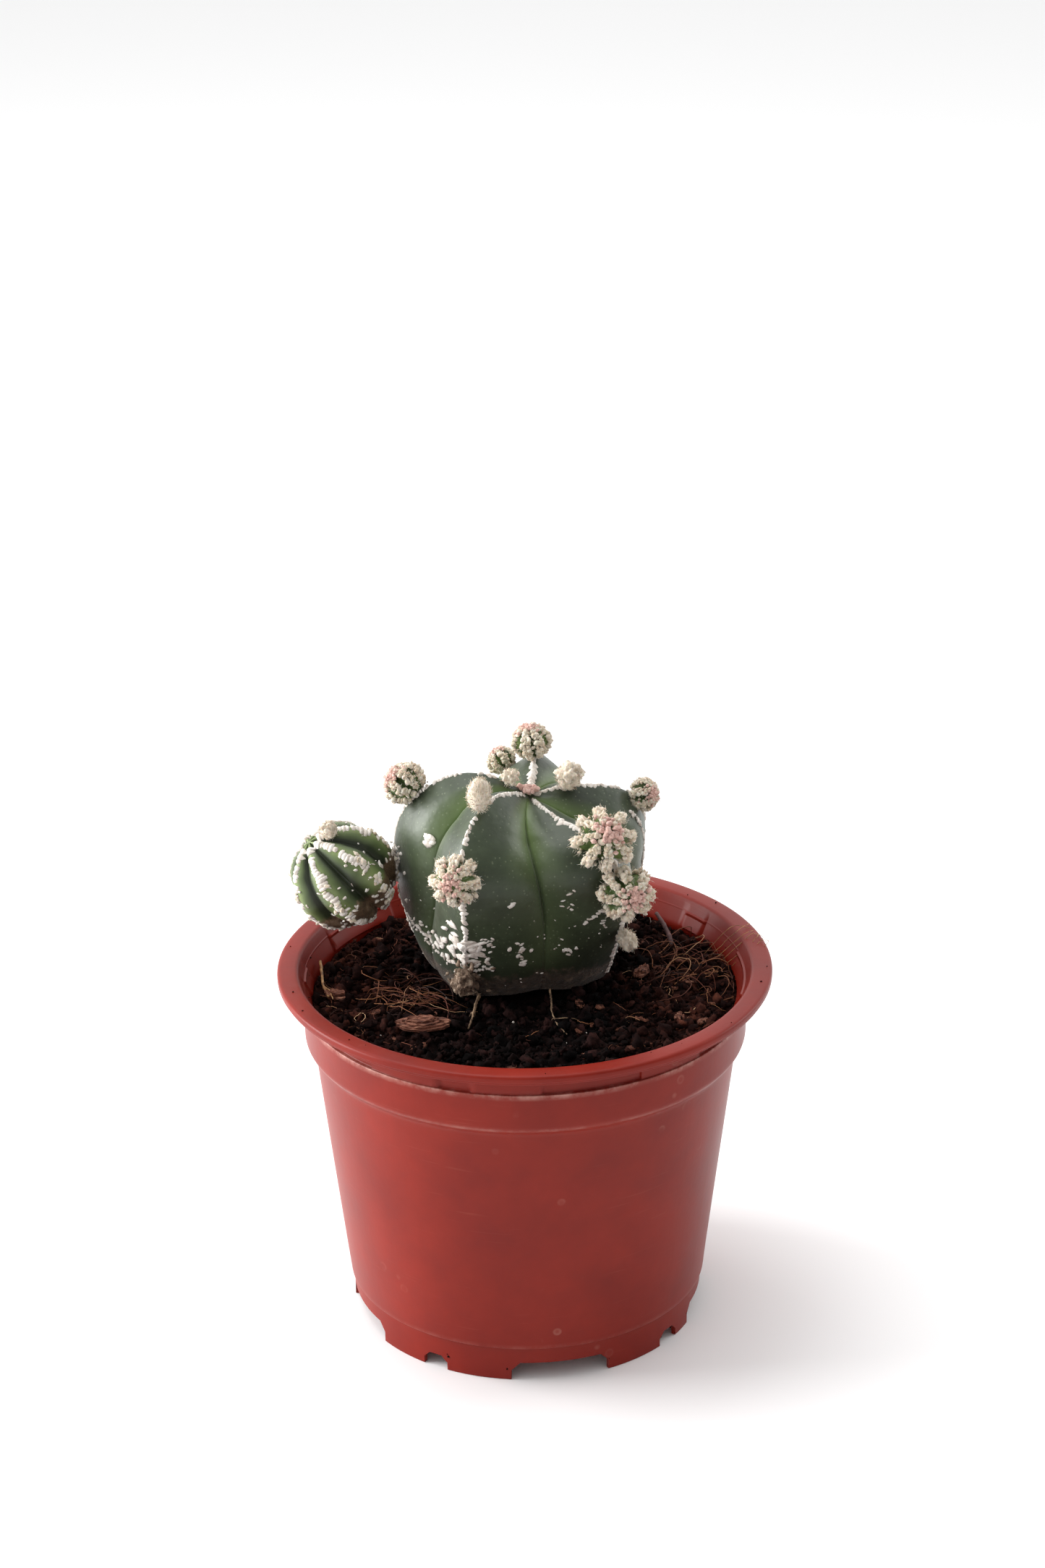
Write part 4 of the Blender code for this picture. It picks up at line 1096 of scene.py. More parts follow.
def pup_wool(middle, axis, radius, half_length, ribs, rng):
    """Centres, axes and half sizes of the wool curds along a pup's ribs."""
    side = axis.orthogonal().normalized()
    other = axis.cross(side)
    full = min(1.45, (5.6 / radius) ** 0.8)     # small pups are woollier for their size
    centres, axes, sizes = [], [], []

    def curd(turn, tip, rise, half_sizes, lean_out):
        """Add one curd at its two angles about the pup."""
        out = side * math.cos(turn) + other * math.sin(turn)
        centres.append(tuple(middle + out * radius * math.sin(tip) * rise
                             + axis * half_length * math.cos(tip) * rise))
        axes.append(tuple(out * (math.sin(tip) + lean_out) + axis * math.cos(tip)))
        sizes.append(half_sizes)

    for rib in range(ribs):
        turn = 2.0 * math.pi * rib / ribs + rng.normal() * 0.05
        for tip_degrees in range(20, 150, 10):
            tip = math.radians(tip_degrees + rng.normal() * 2.5)
            point_out = 0.10 if 60 < tip_degrees < 105 else 0.0
            for aside in (-0.10 * full, 0.0, 0.10 * full):
                wide = radius * full * rng.uniform(0.07, 0.125)
                curd(turn + aside + rng.normal() * 0.03, tip + rng.normal() * 0.05,
                     1.0 + point_out * rng.uniform(0.3, 1.2),
                     (wide, wide * rng.uniform(0.6, 1.0), radius * rng.uniform(0.10, 0.18)), 0.3)
        for _ in range(16):
            small = radius * full * rng.uniform(0.025, 0.07)
            curd(turn + rng.normal() * 0.20, math.radians(rng.uniform(25.0, 130.0)),
                 rng.uniform(0.90, 1.08), (small, small * 0.8, small * 1.2), 0.2)
    return np.array(centres), np.array(axes), np.array(sizes)


PUP_HAIRS = 900
HEART_ANGLE = 21.0                      # how wide the growing point opens the cream wool
HEART_CURDS = 60
SEAT_SCALES = 60

rng = np.random.default_rng(5)
for name, (where, radius, ribs, sideways, upwards, toward) in PUPS.items():
    point, across, _, outward = skin_frame(*where)
    axis = (outward + across * sideways + Vector((0.0, 0.0, upwards))).normalized()
    half_length = radius * PUP_LENGTH / 2.0
    middle = point + outward * (PUP_GAP - PUP_SINK) + axis * half_length
    body = add_mesh(name + "_body", *skin_of(star_body(
        middle, axis, radius * 0.84, half_length * 0.98, ribs)), young_skin, turn_out=True)
    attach(body, "root")
    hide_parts(name)

    heart = np.array(tuple((axis + Vector(toward) * 0.6).normalized()))
    centres, axes, sizes = pup_wool(middle, axis, radius * 0.86, half_length, ribs, rng)
    ways = centres - np.array(tuple(middle))
    ways /= np.linalg.norm(ways, axis=1, keepdims=True)
    outside = ways @ heart < math.cos(math.radians(HEART_ANGLE))
    centres, axes, sizes = centres[outside], axes[outside], sizes[outside]
    fleece = add_mesh(name + "_wool", *heap(
        ball(2), centres, frames_along(axes, sizes, rng), 0.16, rng), wool)
    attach(fleece, "root")

    picked = rng.integers(0, len(centres), PUP_HAIRS)
    ways = axes[picked] / np.linalg.norm(axes[picked], axis=1, keepdims=True)
    ways = ways + rng.normal(size=ways.shape) * 0.45
    roots = centres[picked] + rng.normal(size=ways.shape) * sizes[picked][:, :1] * 0.7
    fringe = add_mesh(name + "_hairs", *hairs(
        roots, ways, 0.13 * radius + 0.2, 0.045, 0.4, rng), wool)
    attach(fringe, "root")

    axes = heart + rng.normal(size=(HEART_CURDS, 3)) * 0.30
    axes /= np.linalg.norm(axes, axis=1, keepdims=True)
    along = axes @ np.array(tuple(axis))
    reach = 1.0 / np.sqrt((along / half_length) ** 2 + (1.0 - along**2) / (0.88 * radius) ** 2)
    centres = (np.array(tuple(middle))
               + axes * (reach * rng.uniform(0.98, 1.10, HEART_CURDS))[:, None])
    small = radius * rng.uniform(0.055, 0.10, (HEART_CURDS, 1))
    heart_wool = add_mesh(name + "_heart", *heap(
        ball(2), centres, frames_along(axes, small * np.array((1.0, 0.9, 1.4)), rng), 0.16, rng),
        pink_wool)
    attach(heart_wool, "root")

    off_skin = np.array(tuple(outward))
    ways = rng.normal(size=(SEAT_SCALES, 3))
    ways -= np.outer(ways @ off_skin, off_skin)
    centres = np.array(tuple(point)) + off_skin * 0.1 + ways * radius * 0.20
    small = radius * rng.uniform(0.04, 0.08, (SEAT_SCALES, 1))
    seat = add_mesh(name + "_seat", *heap(
        ball(2), centres, random_frames(small * np.array((1.0, 0.9, 0.8)), rng), 0.16, rng),
        scales)
    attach(seat, "root")

# ------------------------------------------------------------------ large offset
# An older offset low on the left: a round body of seven swollen ribs whose crests carry broad
# white bands, corky where it joins the stem.

OFFSET_MIDDLE = middle_of("offset_left")
OFFSET_RADIUS = 11.5
OFFSET_POLE = Vector((-0.60, -0.23, 0.77)).normalized()
OFFSET_RIBS = 7
OFFSET_SPIN = 0.35                      # radians round the pole to its first rib
OFFSET_NOTCH = 0.20
offset_side = OFFSET_POLE.orthogonal().normalized()
offset_other = OFFSET_POLE.cross(offset_side)


def on_offset(rib, aside, tip_degrees):
    """A point on the large offset's skin: its rib, angle aside of the crest and from the pole."""
    turn = 2.0 * math.pi * rib / OFFSET_RIBS + aside
    tip = math.radians(tip_degrees)
    crest = abs(math.cos(turn * OFFSET_RIBS / 2.0)) ** RIB_FULLNESS
    reach = OFFSET_RADIUS * (1.0 - OFFSET_NOTCH * math.sin(tip) ** 0.5 * (1.0 - crest))
    out = offset_side * math.cos(turn + OFFSET_SPIN) + offset_other * math.sin(turn + OFFSET_SPIN)
    return OFFSET_MIDDLE + out * reach * math.sin(tip) + OFFSET_POLE * reach * math.cos(tip)


OFFSET_PER_RIB = 26
OFFSET_ROWS = 60
rings = [[on_offset(0, 0.0, 0.0)]]
marks = {"valley": [0.0], "foot": [0.0]}
for i in range(1, OFFSET_ROWS):
    tip = 180.0 * i / OFFSET_ROWS
    ring = []
    for k in range(OFFSET_RIBS * OFFSET_PER_RIB):
        aside = 2.0 * math.pi * k / (OFFSET_RIBS * OFFSET_PER_RIB)
        spot = on_offset(0, aside, tip)
        spot += (spot - OFFSET_MIDDLE).normalized() * 0.25 * noise.noise(spot / 3.0)
        ring.append(spot)
        marks["valley"].append(1.0 - abs(math.cos(aside * OFFSET_RIBS / 2.0)))
        marks["foot"].append(ease((tip - 74.0) / 52.0))
    rings.append(ring)
rings.append([on_offset(0, 0.0, 180.0)])
marks["valley"].append(0.0)
marks["foot"].append(1.0)

# Offset epidermis: light grass green on the swell of each rib, darkened by painted shade into the
# clefts, with brown cork creeping up from the join.
offset_skin, tree, shader = new_finish("swollen_offset_epidermis", 0.40, 1.45)
place = node(tree, "TexCoord").outputs["Object"]
valley = node(tree, "Attribute", {"attribute_name": "valley"}).outputs["Fac"]
broad = node(tree, "TexNoise", inputs={"Vector": place, "Scale": fineness(6.25), "Detail": 4.0})
# Painted shade: the green darkens from the swell of each rib into its clefts.
blend = node(tree, "Math", {"operation": "MULTIPLY_ADD"},
             {0: broad.outputs["Fac"], 1: 0.45, 2: valley})
tone = node(tree, "ValToRGB", {"stops": [
    (0.22, "#7f8d5a"), (0.45, "#5d6c43"), (0.90, "#262d1c")]}, {"Fac": blend.outputs["Value"]})
grow_cork(tree, shader, tone.outputs["Color"], 2.63, (0.90, 1.10), (
    (0.32, "#33241a"), (0.55, "#6e5843"), (0.75, "#a08b76")))

offset = add_mesh("large_offset", *skin_of(rings), offset_skin, turn_out=True)
for name, values in marks.items():
    offset.data.attributes.new(name, "FLOAT", "POINT").data.foreach_set("value", values)
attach(offset, "root")
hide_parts("offset_left")


def offset_chip(rib, tip, half_across, half_along, height, rng):
    """One scale of the band along a crest of the large offset."""
    top = np.zeros((CHIP_ROWS, CHIP_COLUMNS, 3))
    bottom = top.copy()
    ring = OFFSET_RADIUS * max(math.sin(math.radians(tip)), 0.15)
    for r in range(CHIP_ROWS):
        v = 2.0 * r / (CHIP_ROWS - 1) - 1.0
        for c in range(CHIP_COLUMNS):
            u = 2.0 * c / (CHIP_COLUMNS - 1) - 1.0
            wander = 0.10 * noise.noise(Vector((rib * 5.1, tip / 11.0, 9.0)))
            aside = wander + u * half_across * rng.uniform(0.85, 1.1) / ring
            along = v * half_along * (1.0 - 0.4 * u * u) + rng.uniform(-0.06, 0.06)
            skin = on_offset(rib, aside, tip + math.degrees(along / OFFSET_RADIUS))
            out = (skin - OFFSET_MIDDLE).normalized()
            swell = height * math.sqrt(max(0.0, (1.05 - u * u) * (1.05 - 0.8 * v * v)))
            top[r, c] = skin + out * swell * rng.uniform(0.7, 1.2)
            bottom[r, c] = skin - out * CHIP_SINK
    return slab(top, bottom)


rng = np.random.default_rng(33)
chips = []
for rib in range(OFFSET_RIBS):
    tip = 12.0
    while tip < 128.0:
        if rng.uniform() < (0.9 if tip < 80.0 else 0.65):
            width = 1.05 + 0.6 * noise.noise(Vector((rib * 7.3, tip / 14.0, 2.0)))
            chips.append(offset_chip(rib, tip, width * rng.uniform(0.7, 1.3),
                                     rng.uniform(0.38, 0.62), rng.uniform(0.28, 0.6), rng))
        tip += rng.uniform(3.2, 4.8)
bands = add_mesh("offset_scales", *joined(chips), scales, turn_out=True)
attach(bands, "root")

OFFSET_FLECKS = 230
OFFSET_CURDS = 90
centres, axes, sizes = [], [], []
for _ in range(OFFSET_FLECKS):
    tip = 165.0 - 110.0 * rng.uniform() ** 1.4
    spot = on_offset(rng.integers(OFFSET_RIBS), rng.normal() * 0.22, tip)
    out = (spot - OFFSET_MIDDLE).normalized()
    size = rng.uniform(0.20, 0.85) * (0.6 if tip < 90.0 else 1.0)
    centres.append(tuple(spot + out * 0.05))
    axes.append(tuple(out))
    sizes.append((size, size * rng.uniform(0.3, 0.7), min(0.26, size)))
frames = frames_along(np.array(axes), np.array(sizes), rng)
specks = add_mesh("offset_flecks", *heap(ball(2), np.array(centres), frames, 0.18, rng), scales)
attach(specks, "root")

centres, axes, sizes = [], [], []
for _ in range(OFFSET_CURDS):
    spot = on_offset(rng.integers(OFFSET_RIBS), rng.normal() * 0.10, rng.uniform(58.0, 135.0))
    out = (spot - OFFSET_MIDDLE).normalized()
    size = rng.uniform(0.35, 0.85)
    centres.append(tuple(spot + out * 0.15))
    axes.append(tuple(out))
    sizes.append((size, size * rng.uniform(0.5, 0.9), size * rng.uniform(0.5, 0.9)))
curds = add_mesh("offset_wool", *heap(ball(2), np.array(centres), frames_along(
    np.array(axes), np.array(sizes), rng), 0.18, rng), wool)
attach(curds, "root")

# ------------------------------------------------------------------ woolly areoles
# Tufts of felt where flower buds or offsets will grow: a smooth egg-shaped bud, looser tufts near
# the apex, and dry brown felt left at the foot. Each is a matted core under short hairs.

# name: place, half width, half length, lean across, lean up, finish
BUDS = {
    "wool_bud_front_left": (("front_left", 0.0, 39.0), 2.55, 4.0, 0.5, 1.2, "cream"),
    "wool_bud_back_right": (("back_right", 0.0, 23.0), 2.7, 3.0, -0.9, 0.3, "cream"),
    "wool_bud_back_left": (("back_left", 0.0, 13.0), 1.8, 1.6, 0.9, 0.0, "cream"),
    "wool_tuft_base_right": (("front_right", 0.0, 108.0), 1.8, 2.6, -0.6, 0.0, "cream"),
    "dry_tuft_base_left": (("front_left", 0.0, 124.0), 2.3, 2.8, 0.6, 0.3, "dry"),
}

# Dry felt: old areole wool, weathered tan and brown.
dry_felt, _ = grained_finish("weathered_areole_felt", 0.95, (1.11, 5.0, 0.7), (
    (0.34, "#433328"), (0.52, "#8a7462"), (0.75, "#c2b19e")), (0.9, 0.5))
FELTS = {"cream": (wool, "areole_wool"), "dry": (dry_felt, "dry_wool")}


FELT_ROWS = 26
FELT_COLUMNS = 36


def felt_core(centre, axis, half_width, half_length, lump):
    """A lumpy egg: its rings, from its tip down."""
    side = axis.orthogonal().normalized()
    other = axis.cross(side)
    rings = [[centre + axis * half_length]]
    for i in range(1, FELT_ROWS):
        tip = math.pi * i / FELT_ROWS
        ring = []
        for k in range(FELT_COLUMNS):
            turn = 2.0 * math.pi * k / FELT_COLUMNS
            out = side * math.cos(turn) + other * math.sin(turn)
            way = out * math.sin(tip) * half_width + axis * math.cos(tip) * half_length
            dent = 1.0 + lump * noise.noise(way / (0.45 * half_width) + centre)
            dent += 0.4 * lump * noise.noise(way / (0.18 * half_width) + centre)
            ring.append(centre + way * dent)
        rings.append(ring)
    rings.append([centre - axis * half_length])
    return rings


def felt_hairs(centre, axis, half_width, half_length, count, length, radius, rng):
    """Hairs that lie over an egg of felt, swept towards its tip."""
    ways = rng.normal(size=(count, 3))
    ways /= np.linalg.norm(ways, axis=1, keepdims=True)
    pole = np.array(tuple(axis))
    along = (ways @ pole)[:, None]
    roots = np.array(tuple(centre)) + (ways - along * pole) * half_width * 0.95
    roots += along * pole * half_length * 0.95
    lay = pole - ways * along
    directions = ways * 0.55 + lay * 0.8 + rng.normal(size=(count, 3)) * 0.22
    return hairs(roots, directions, length, radius, 0.35, rng)


rng = np.random.default_rng(11)
for name, (where, half_width, half_length, sideways, upwards, kind) in BUDS.items():
    finish, finish_slot = FELTS[kind]
    point, across, _, outward = skin_frame(*where)
    axis = (outward + across * sideways + Vector((0.0, 0.0, upwards))).normalized()
    centre = point + outward * PUP_GAP + axis * half_length
    lump = 0.12 if name == "wool_bud_front_left" else 0.55
    core = add_mesh(name + "_felt", *skin_of(felt_core(
        centre, axis, half_width * 0.95, half_length * 0.97, lump)), finish, turn_out=True)
    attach(core, "root")
    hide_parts(name)
    count = int(60 * half_width * half_length)
    cover = add_mesh(name + "_hairs", *felt_hairs(
        centre, axis, half_width, half_length, count, 0.9, 0.055, rng), finish)
    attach(cover, "root")

CRUST_FLAKES = 46
crust_spots, crust_axes, crust_sizes = [], [], []
for _ in range(CRUST_FLAKES):
    point, across, down, outward = skin_frame("front_left", rng.normal() * 0.05,
                                              rng.uniform(116.0, 136.0))
    crust_spots.append(tuple(point + outward * rng.uniform(0.0, 1.2) + across * rng.normal()))
    crust_axes.append(tuple(outward + down * rng.normal() * 0.6))
    size = rng.uniform(0.3, 1.1)
    crust_sizes.append((size, size * rng.uniform(0.3, 0.7), size * rng.uniform(0.3, 0.6)))
crust = add_mesh("dry_crust", *heap(ball(2), np.array(crust_spots), frames_along(
    np.array(crust_axes), np.array(crust_sizes), rng), 0.18, rng), dry_felt)
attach(crust, "root")

APEX_CURDS = 34
ways = rng.normal(size=(APEX_CURDS, 3)) * np.array((0.75, 0.75, 0.175))
centres = np.array(tuple(middle_of("wool_apex"))) + ways - np.array((0.0, 0.0, 0.4))
sizes = rng.uniform(0.35, 0.75, (APEX_CURDS, 1)) * np.array((1.0, 0.8, 0.9))
apex_wool = add_mesh("apex_wool", *heap(
    ball(2), centres, random_frames(sizes, rng), 0.22, rng), pink_wool)
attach(apex_wool, "root")
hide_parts("wool_apex")

TUFT_SHIFT = Vector((1.6, -0.4, -1.1))
TUFT_SIZES = (1.7, 1.9)                 # half width, half length
tuft = middle_of("wool_tuft_offset") + TUFT_SHIFT
tuft_axis = (tuft - OFFSET_MIDDLE).normalized()
tuft_core = add_mesh("offset_tuft_felt", *skin_of(felt_core(
    tuft, tuft_axis, *TUFT_SIZES, 0.35)), wool, turn_out=True)
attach(tuft_core, "root")
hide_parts("wool_tuft_offset")
tuft_cover = add_mesh("offset_tuft_hairs", *felt_hairs(
    tuft, tuft_axis, *TUFT_SIZES, 260, 0.8, 0.05, rng), wool)
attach(tuft_cover, "root")

# ------------------------------------------------------------------ roots, twig, straw and coir
# Loose plant matter on the peat: two thin roots from the plant's foot, a curved twig, a straw
# by the left wall, and coir fibres, matted in a clump on the left and strewn on the right.


def tube(route, radii, sides):
    """A closed round strand along a route of points."""
    route = np.asarray(route, float)
    ahead = np.gradient(route, axis=0)
    ahead /= np.linalg.norm(ahead, axis=1, keepdims=True)
    side = np.cross(ahead, np.array((0.13, 0.21, 0.97)))
    side /= np.linalg.norm(side, axis=1, keepdims=True)
    other = np.cross(ahead, side)
    turns = 2.0 * math.pi * np.arange(sides) / sides
    rings = (route[:, None] + (side[:, None] * np.cos(turns)[None, :, None]
             + other[:, None] * np.sin(turns)[None, :, None]) * np.asarray(radii)[:, None, None])
    faces = []
    for i in range(len(route) - 1):
        for k in range(sides):
            j = (k + 1) % sides
            faces.append((i * sides + k, i * sides + j, (i + 1) * sides + j, (i + 1) * sides + k))
    last = (len(route) - 1) * sides
    faces.append(tuple(range(sides - 1, -1, -1)))
    faces.append(tuple(last + k for k in range(sides)))
    return rings.reshape(-1, 3), faces


def smooth_route(knots, count, wobble, rng):
    """Points on a smooth line through knots, with a slight natural unevenness."""
    tables = [[(i, knot[axis]) for i, knot in enumerate(knots)] for axis in range(3)]
    places = np.linspace(0.0, len(knots) - 1.0, count)
    route = np.array([[through(table, p) for table in tables] for p in places])
    return route + rng.normal(size=route.shape) * wobble


# Roots: thin and wiry, dull tan-brown with darker stretches.
root_bark, _ = grained_finish("dry_root", 0.8, (1.43, 4.0, 0.5), (
    (0.35, "#4b392b"), (0.6, "#8a7057"), (0.8, "#b09877")), (0.6, 0.2), ior=1.4)

ROOT_POINTS = 34
BRANCH_POINTS = 12
rng = np.random.default_rng(3)
ROOTS = {  # route, thickness at the plant and at the tip
    "root_left": ([(-9.6, -9.5, 76.4), (-10.2, -12.0, 75.8), (-11.0, -15.3, 74.2),
                   (-11.9, -18.4, 73.0)], 0.36, 0.18),
    "root_right": ([(5.2, -7.4, 76.6), (5.5, -10.2, 75.4), (5.6, -13.4, 74.3),
                    (6.6, -17.8, 73.7), (8.6, -21.8, 73.3)], 0.22, 0.10),
}
for name, (knots, thick, thin) in ROOTS.items():
    route = smooth_route(knots, ROOT_POINTS, 0.05, rng)
    radii = np.linspace(thick, thin, ROOT_POINTS) * rng.uniform(0.88, 1.12, ROOT_POINTS)
    bodies = [tube(route, radii, 8)]
    for _ in range(4):
        start = route[rng.integers(12, 30)]
        reach = rng.normal(size=3) * np.array((2.4, 2.4, 0.2))
        end = start + reach
        end[2] = soil_top(end[0], end[1]) + 0.2
        middle = (start + end) / 2.0 + np.array((0.0, 0.0, 0.5))
        branch = smooth_route([start, middle, end], BRANCH_POINTS, 0.04, rng)
        bodies.append(tube(branch, np.linspace(0.14, 0.07, BRANCH_POINTS), 5))
    root = add_mesh(name + "_strand", *joined(bodies), root_bark, turn_out=True)
    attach(root, "root")
    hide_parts(name)

# Twig: a smooth purple-brown shoot with a paler worn side.
twig_bark, _ = grained_finish("purple_brown_twig_bark", 0.6, (2.0, 4.0, 0.5), (
    (0.35, "#371f20"), (0.6, "#65423f"), (0.8, "#8d6a60")), (0.5, 0.2))
route = smooth_route([(29.0, 26.2, 78.4), (30.6, 23.4, 76.8), (31.9, 20.0, 74.8),
                      (32.7, 16.8, 73.0)], 30, 0.04, rng)
twig = add_mesh("curved_twig", *tube(route, np.linspace(0.42, 0.62, 30)
                                     * rng.uniform(0.92, 1.08, 30), 8), twig_bark, turn_out=True)
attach(twig, "root")
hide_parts("twig_right")

# Straw: a split dry stalk, pale yellow-brown with a slight gloss.
straw_skin, _ = grained_finish("dry_straw", 0.55, (1.67, 3.0, 0.5), (
    (0.35, "#7c5430"), (0.6, "#b98a57"), (0.8, "#d6b184")))
route = smooth_route([(-44.0, 9.5, 75.4), (-43.4, 4.0, 75.0), (-42.8, -1.0, 74.6),
                      (-41.6, -5.0, 74.2)], 26, 0.05, rng)
split = smooth_route([(-42.8, -1.0, 74.6), (-41.4, -3.4, 74.8), (-40.6, -6.6, 74.3)], 14, 0.04,
                     rng)
straw = add_mesh("straw_by_wall", *joined([
    tube(route, np.linspace(0.34, 0.24, 26), 6), tube(split, np.linspace(0.2, 0.1, 14), 5)]),
    straw_skin, turn_out=True)
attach(straw, "root")
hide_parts("straw_left")

# Coir: tough husk fibres, orange-brown, each strand its own shade.
coir, tree, shader = new_finish("coir_husk_fibre", 0.65, 1.45)
island = node(tree, "NewGeometry").outputs["Random Per Island"]
tone = node(tree, "ValToRGB", {"stops": [
    (0.0, "#2a1510"), (0.45, "#6b3725"), (0.8, "#94623f"),
    (1.0, "#cfa680")]}, {"Fac": island})
tree.links.new(tone.outputs["Color"], shader.inputs["Base Color"])
shader.inputs["Specular IOR Level"].default_value = 0.35


FIBRE_POINTS = 14
FIBRE_SETTLED = 0.35                    # how closely a stiff fibre follows the peat's humps


def fibre(x, y, heading, length, radius, lift, curl, rng):
    """One fibre that bends as it lies over the peat."""
    route = []
    for i in range(FIBRE_POINTS):
        t = i / (FIBRE_POINTS - 1)
        hump = math.sin(math.pi * t) * lift
        bed = (SOIL_LEVEL + 0.5) * (1.0 - FIBRE_SETTLED) + soil_top(x, y) * FIBRE_SETTLED
        route.append((x, y, bed + 0.35 + hump))
        heading += curl * (1.0 + 0.8 * math.sin(3.0 * t)) / FIBRE_POINTS
        x += math.sin(heading) * length / FIBRE_POINTS
        y -= math.cos(heading) * length / FIBRE_POINTS
        off = math.hypot(x, y)
        if off > INNER_RADIUS - 0.9:
            x, y = x * (INNER_RADIUS - 0.9) / off, y * (INNER_RADIUS - 0.9) / off
    route = np.array(route) + rng.normal(size=(FIBRE_POINTS, 3)) * 0.04
    return tube(route, radius * np.linspace(1.0, 0.55, FIBRE_POINTS), 4)


# Patches of coir: centre, spread, main heading, heading spread, length, count
COIR_PATCHES = {
    "coir_clump_left": ((-26.0, -0.5), (3.6, 3.6), 0.3, 0.8, 15.0, 50, (
        "coir_fibre_left_1", "coir_fibre_left_2", "coir_fibre_left_3")),
    "coir_strewn_right": ((34.0, 9.0), (6.0, 6.5), 1.6, 0.7, 14.0, 56, (
        "coir_fibre_right_1", "coir_fibre_right_2", "coir_fibre_right_3")),
}
for name, (centre, spread, heading, turn, length, count, nodes) in COIR_PATCHES.items():
    bodies = []
    for _ in range(count):
        x = centre[0] + rng.normal() * spread[0]
        y = centre[1] + rng.normal() * spread[1]
        if math.hypot(x, y) > INNER_RADIUS - 2.0:
            continue
        bodies.append(fibre(x, y, heading + rng.normal() * turn, length * rng.uniform(0.5, 1.2),
                            rng.choice((0.07, 0.10, 0.14)), rng.uniform(0.2, 3.0),
                            rng.normal() * 1.5, rng))
    patch = add_mesh(name, *joined(bodies), coir, turn_out=True)
    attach(patch, "root")
    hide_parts(*nodes)

STREWN_COUNT = 110
STREWN_REACH = 43.0
STREWN_CLEAR = PLANT_FOOT_RADIUS + 2.0
bodies = []
while len(bodies) < STREWN_COUNT:
    x, y = open_peat(rng, STREWN_REACH, STREWN_CLEAR)
    if rng.uniform() < max(0.12, (abs(x) - 8.0) / 22.0):        # thicker towards the sides
        bodies.append(fibre(x, y, rng.uniform(0.0, 6.3), rng.uniform(2.0, 8.0),
                            rng.choice((0.05, 0.07, 0.10)), rng.uniform(0.1, 0.7),
                            rng.normal() * 1.5, rng))
strewn = add_mesh("coir_strewn", *joined(bodies), coir, turn_out=True)
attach(strewn, "root")

# Pale hairs: a few fine root hairs that cross the lip on the right.
PALE_HAIRS = 7
bodies = []
for i in range(PALE_HAIRS):
    x, y = 39.0 + 1.1 * i, 13.5 - 1.3 * i
    start = (x, y, SOIL_LEVEL + 2.0)
    over = (x * 1.12 + 1.0, y + rng.uniform(-1.0, 2.5), POT_HEIGHT + 0.6)
    end = (x * 1.12 + 5.0 - 0.9 * i, y + rng.uniform(1.0, 5.5), POT_HEIGHT + 0.25)
    bodies.append(tube(smooth_route([start, over, end], 16, 0.05, rng), [0.06] * 16, 4))
pale = add_mesh("pale_hairs", *joined(bodies), straw_skin, turn_out=True)
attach(pale, "root")

# ------------------------------------------------------------------ bark chips
# Flakes of pine bark: thin layered plates with frayed ends, red-brown on their faces and paler
# along the broken edges.

# Pine bark: matt, finely ridged along its grain.
bark, tree, shader = new_finish("pine_bark", 0.85, 1.45)
place = node(tree, "TexCoord").outputs["Object"]
grain_place = node(tree, "Mapping", inputs={
    "Vector": place, "Scale": (fineness(2.86), fineness(0.667), fineness(0.667))})
grain = node(tree, "TexNoise", inputs={"Vector": grain_place.outputs["Vector"], "Scale": 1.0,
                                       "Detail": 5.0, "Roughness": 0.65})
tone = node(tree, "ValToRGB", {"stops": [
    (0.32, "#351911"), (0.52, "#70402e"), (0.74, "#b5836a")]},
    {"Fac": grain.outputs["Fac"]})
tree.links.new(tone.outputs["Color"], shader.inputs["Base Color"])
ridged = node(tree, "Bump", inputs={"Height": grain.outputs["Fac"], "Strength": 0.9,
                                    "Distance": 0.6 * MM})
tree.links.new(ridged.outputs["Normal"], shader.inputs["Normal"])

# name: half length, half width, half height, heading, plates
CHIPS = {
    "bark_chip_front_left": (5.4, 2.9, 0.55, 5.0, 4),
    "bark_chip_right": (2.5, 1.4, 0.5, 60.0, 3),
    "bark_chip_left": (2.3, 1.5, 0.5, -30.0, 3),
}


def bark_plate(centre, half_length, half_width, half_height, heading, rng):
    """One frayed plate of bark as a closed slab."""
    rows, cols = 9, 15
    turn = math.radians(heading)
    along = Vector((math.cos(turn), math.sin(turn), 0.0))
    aside = Vector((-math.sin(turn), math.cos(turn), 0.0))
    top, bottom = np.zeros((rows, cols, 3)), np.zeros((rows, cols, 3))
    frays = rng.uniform(0.78, 1.15, (rows, 2))
    seed = Vector(tuple(rng.uniform(0.0, 50.0, 3)))
    for r in range(rows):
        v = 2.0 * r / (rows - 1) - 1.0
        for c in range(cols):
            u = 2.0 * c / (cols - 1) - 1.0
            fray = frays[r, 0] if u < 0.0 else frays[r, 1]
            narrow = math.sqrt(max(0.0, 1.0 - 0.8 * abs(u) ** 3))
            spot = centre + along * half_length * u * fray + aside * half_width * v * narrow
            lift = 0.35 * noise.noise(Vector((u * 2.5, v * 4.0, 0.0)) + seed)
            lift += 0.25 * u * u * half_height
            top[r, c] = spot + Vector((0.0, 0.0, half_height * 0.5 + lift))
            bottom[r, c] = spot + Vector((0.0, 0.0, -half_height * 0.5 + lift))
    return slab(top, bottom)


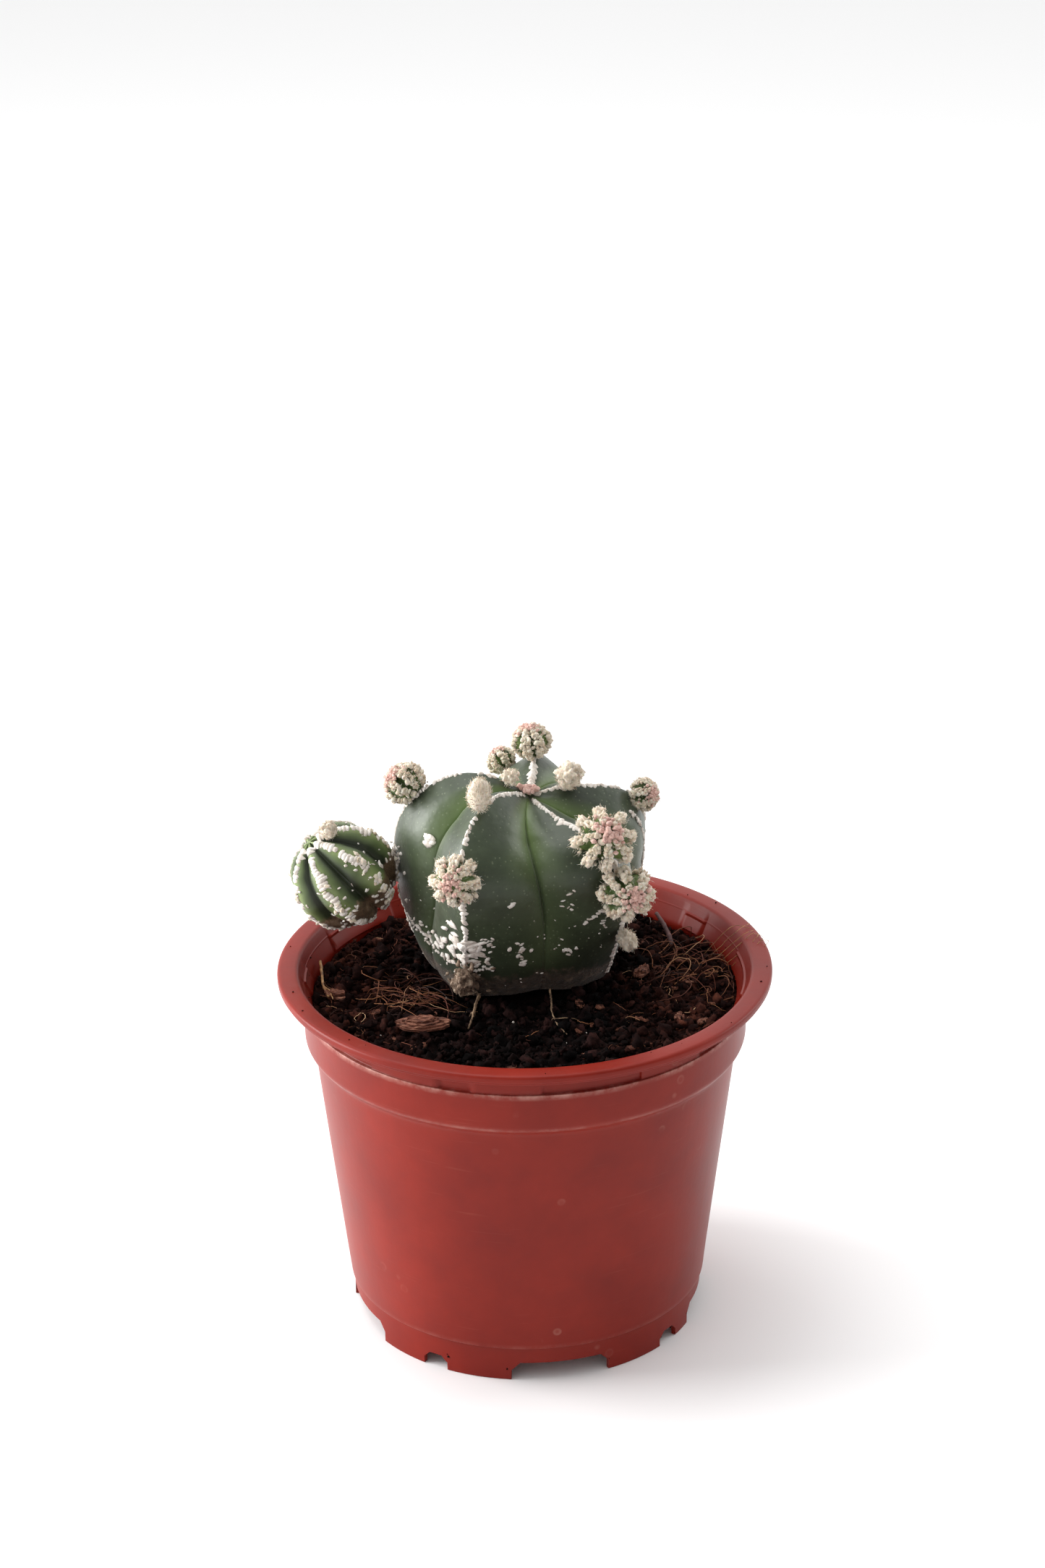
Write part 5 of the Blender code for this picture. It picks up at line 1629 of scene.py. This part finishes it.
for name, (half_length, half_width, half_height, heading, plates) in CHIPS.items():
    middle = middle_of(name)
    bodies = []
    for n in range(plates):
        share = 1.0 - 0.16 * n
        shift = Vector((rng.normal() * 0.5, rng.normal() * 0.25, 0.38 * (n - 1)))
        bodies.append(bark_plate(middle + shift, half_length * share, half_width * share,
                                 half_height, heading + rng.normal() * 6.0, rng))
    flake = add_mesh(name + "_plates", *joined(bodies), bark, turn_out=True, sharp=40.0)
    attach(flake, "root")
    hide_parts(name)

SCRAP_COUNT = 46
bodies = []
for _ in range(SCRAP_COUNT):
    x, y = open_peat(rng, STREWN_REACH, STREWN_CLEAR)
    size = rng.uniform(0.4, 1.2)
    bodies.append(bark_plate(Vector((x, y, soil_top(x, y) + 0.5)), size * 1.5, size * 0.7,
                             0.3, rng.uniform(0.0, 180.0), rng))
scraps = add_mesh("bark_scraps", *joined(bodies), bark, turn_out=True, sharp=40.0)
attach(scraps, "root")

# ------------------------------------------------------------------ dirt on the pot
# Specks of peat cling to the pot: at the foot notches where water drains out, on top of the lip
# and on the wall inside it.

NOTCH_SPECKS = 7
LIP_SPECKS = 16
WALL_SPECKS = 60
centres = []
for degrees, width, height in NOTCHES:
    for _ in range(NOTCH_SPECKS):
        side = rng.choice((-1.0, 1.0))
        turn = degrees + side * math.degrees(width / 2 / FOOT_RING) + rng.normal() * 0.8
        centres.append(tuple(around(37.6 + rng.uniform(-0.4, 0.45), turn,
                                    rng.uniform(0.3, height + 1.5))))
for _ in range(LIP_SPECKS):
    centres.append(tuple(around(rng.uniform(LIP_RADIUS - 3.6, LIP_RADIUS - 1.0),
                                rng.uniform(0.0, 360.0), POT_HEIGHT + 0.05)))
for _ in range(WALL_SPECKS):
    z = rng.uniform(SOIL_LEVEL + 0.5, POT_HEIGHT - 2.0)
    lean = max(0.0, z - BAND_TOP) / (POT_HEIGHT - BAND_TOP)
    radius = INNER_RADIUS + lean * (LIP_RADIUS - LIP_WIDTH - INNER_RADIUS) - 0.15
    centres.append(tuple(around(radius, rng.uniform(0.0, 360.0), z)))
centres = np.array(centres)
size = rng.uniform(0.08, 0.30, len(centres))
frames = random_frames(np.stack([size, size * 0.8, size * 0.6], 1), rng)
dirt = add_mesh("dirt_specks", *heap(ball(1), centres, frames, 0.25, rng), peat)
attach(dirt, "root")
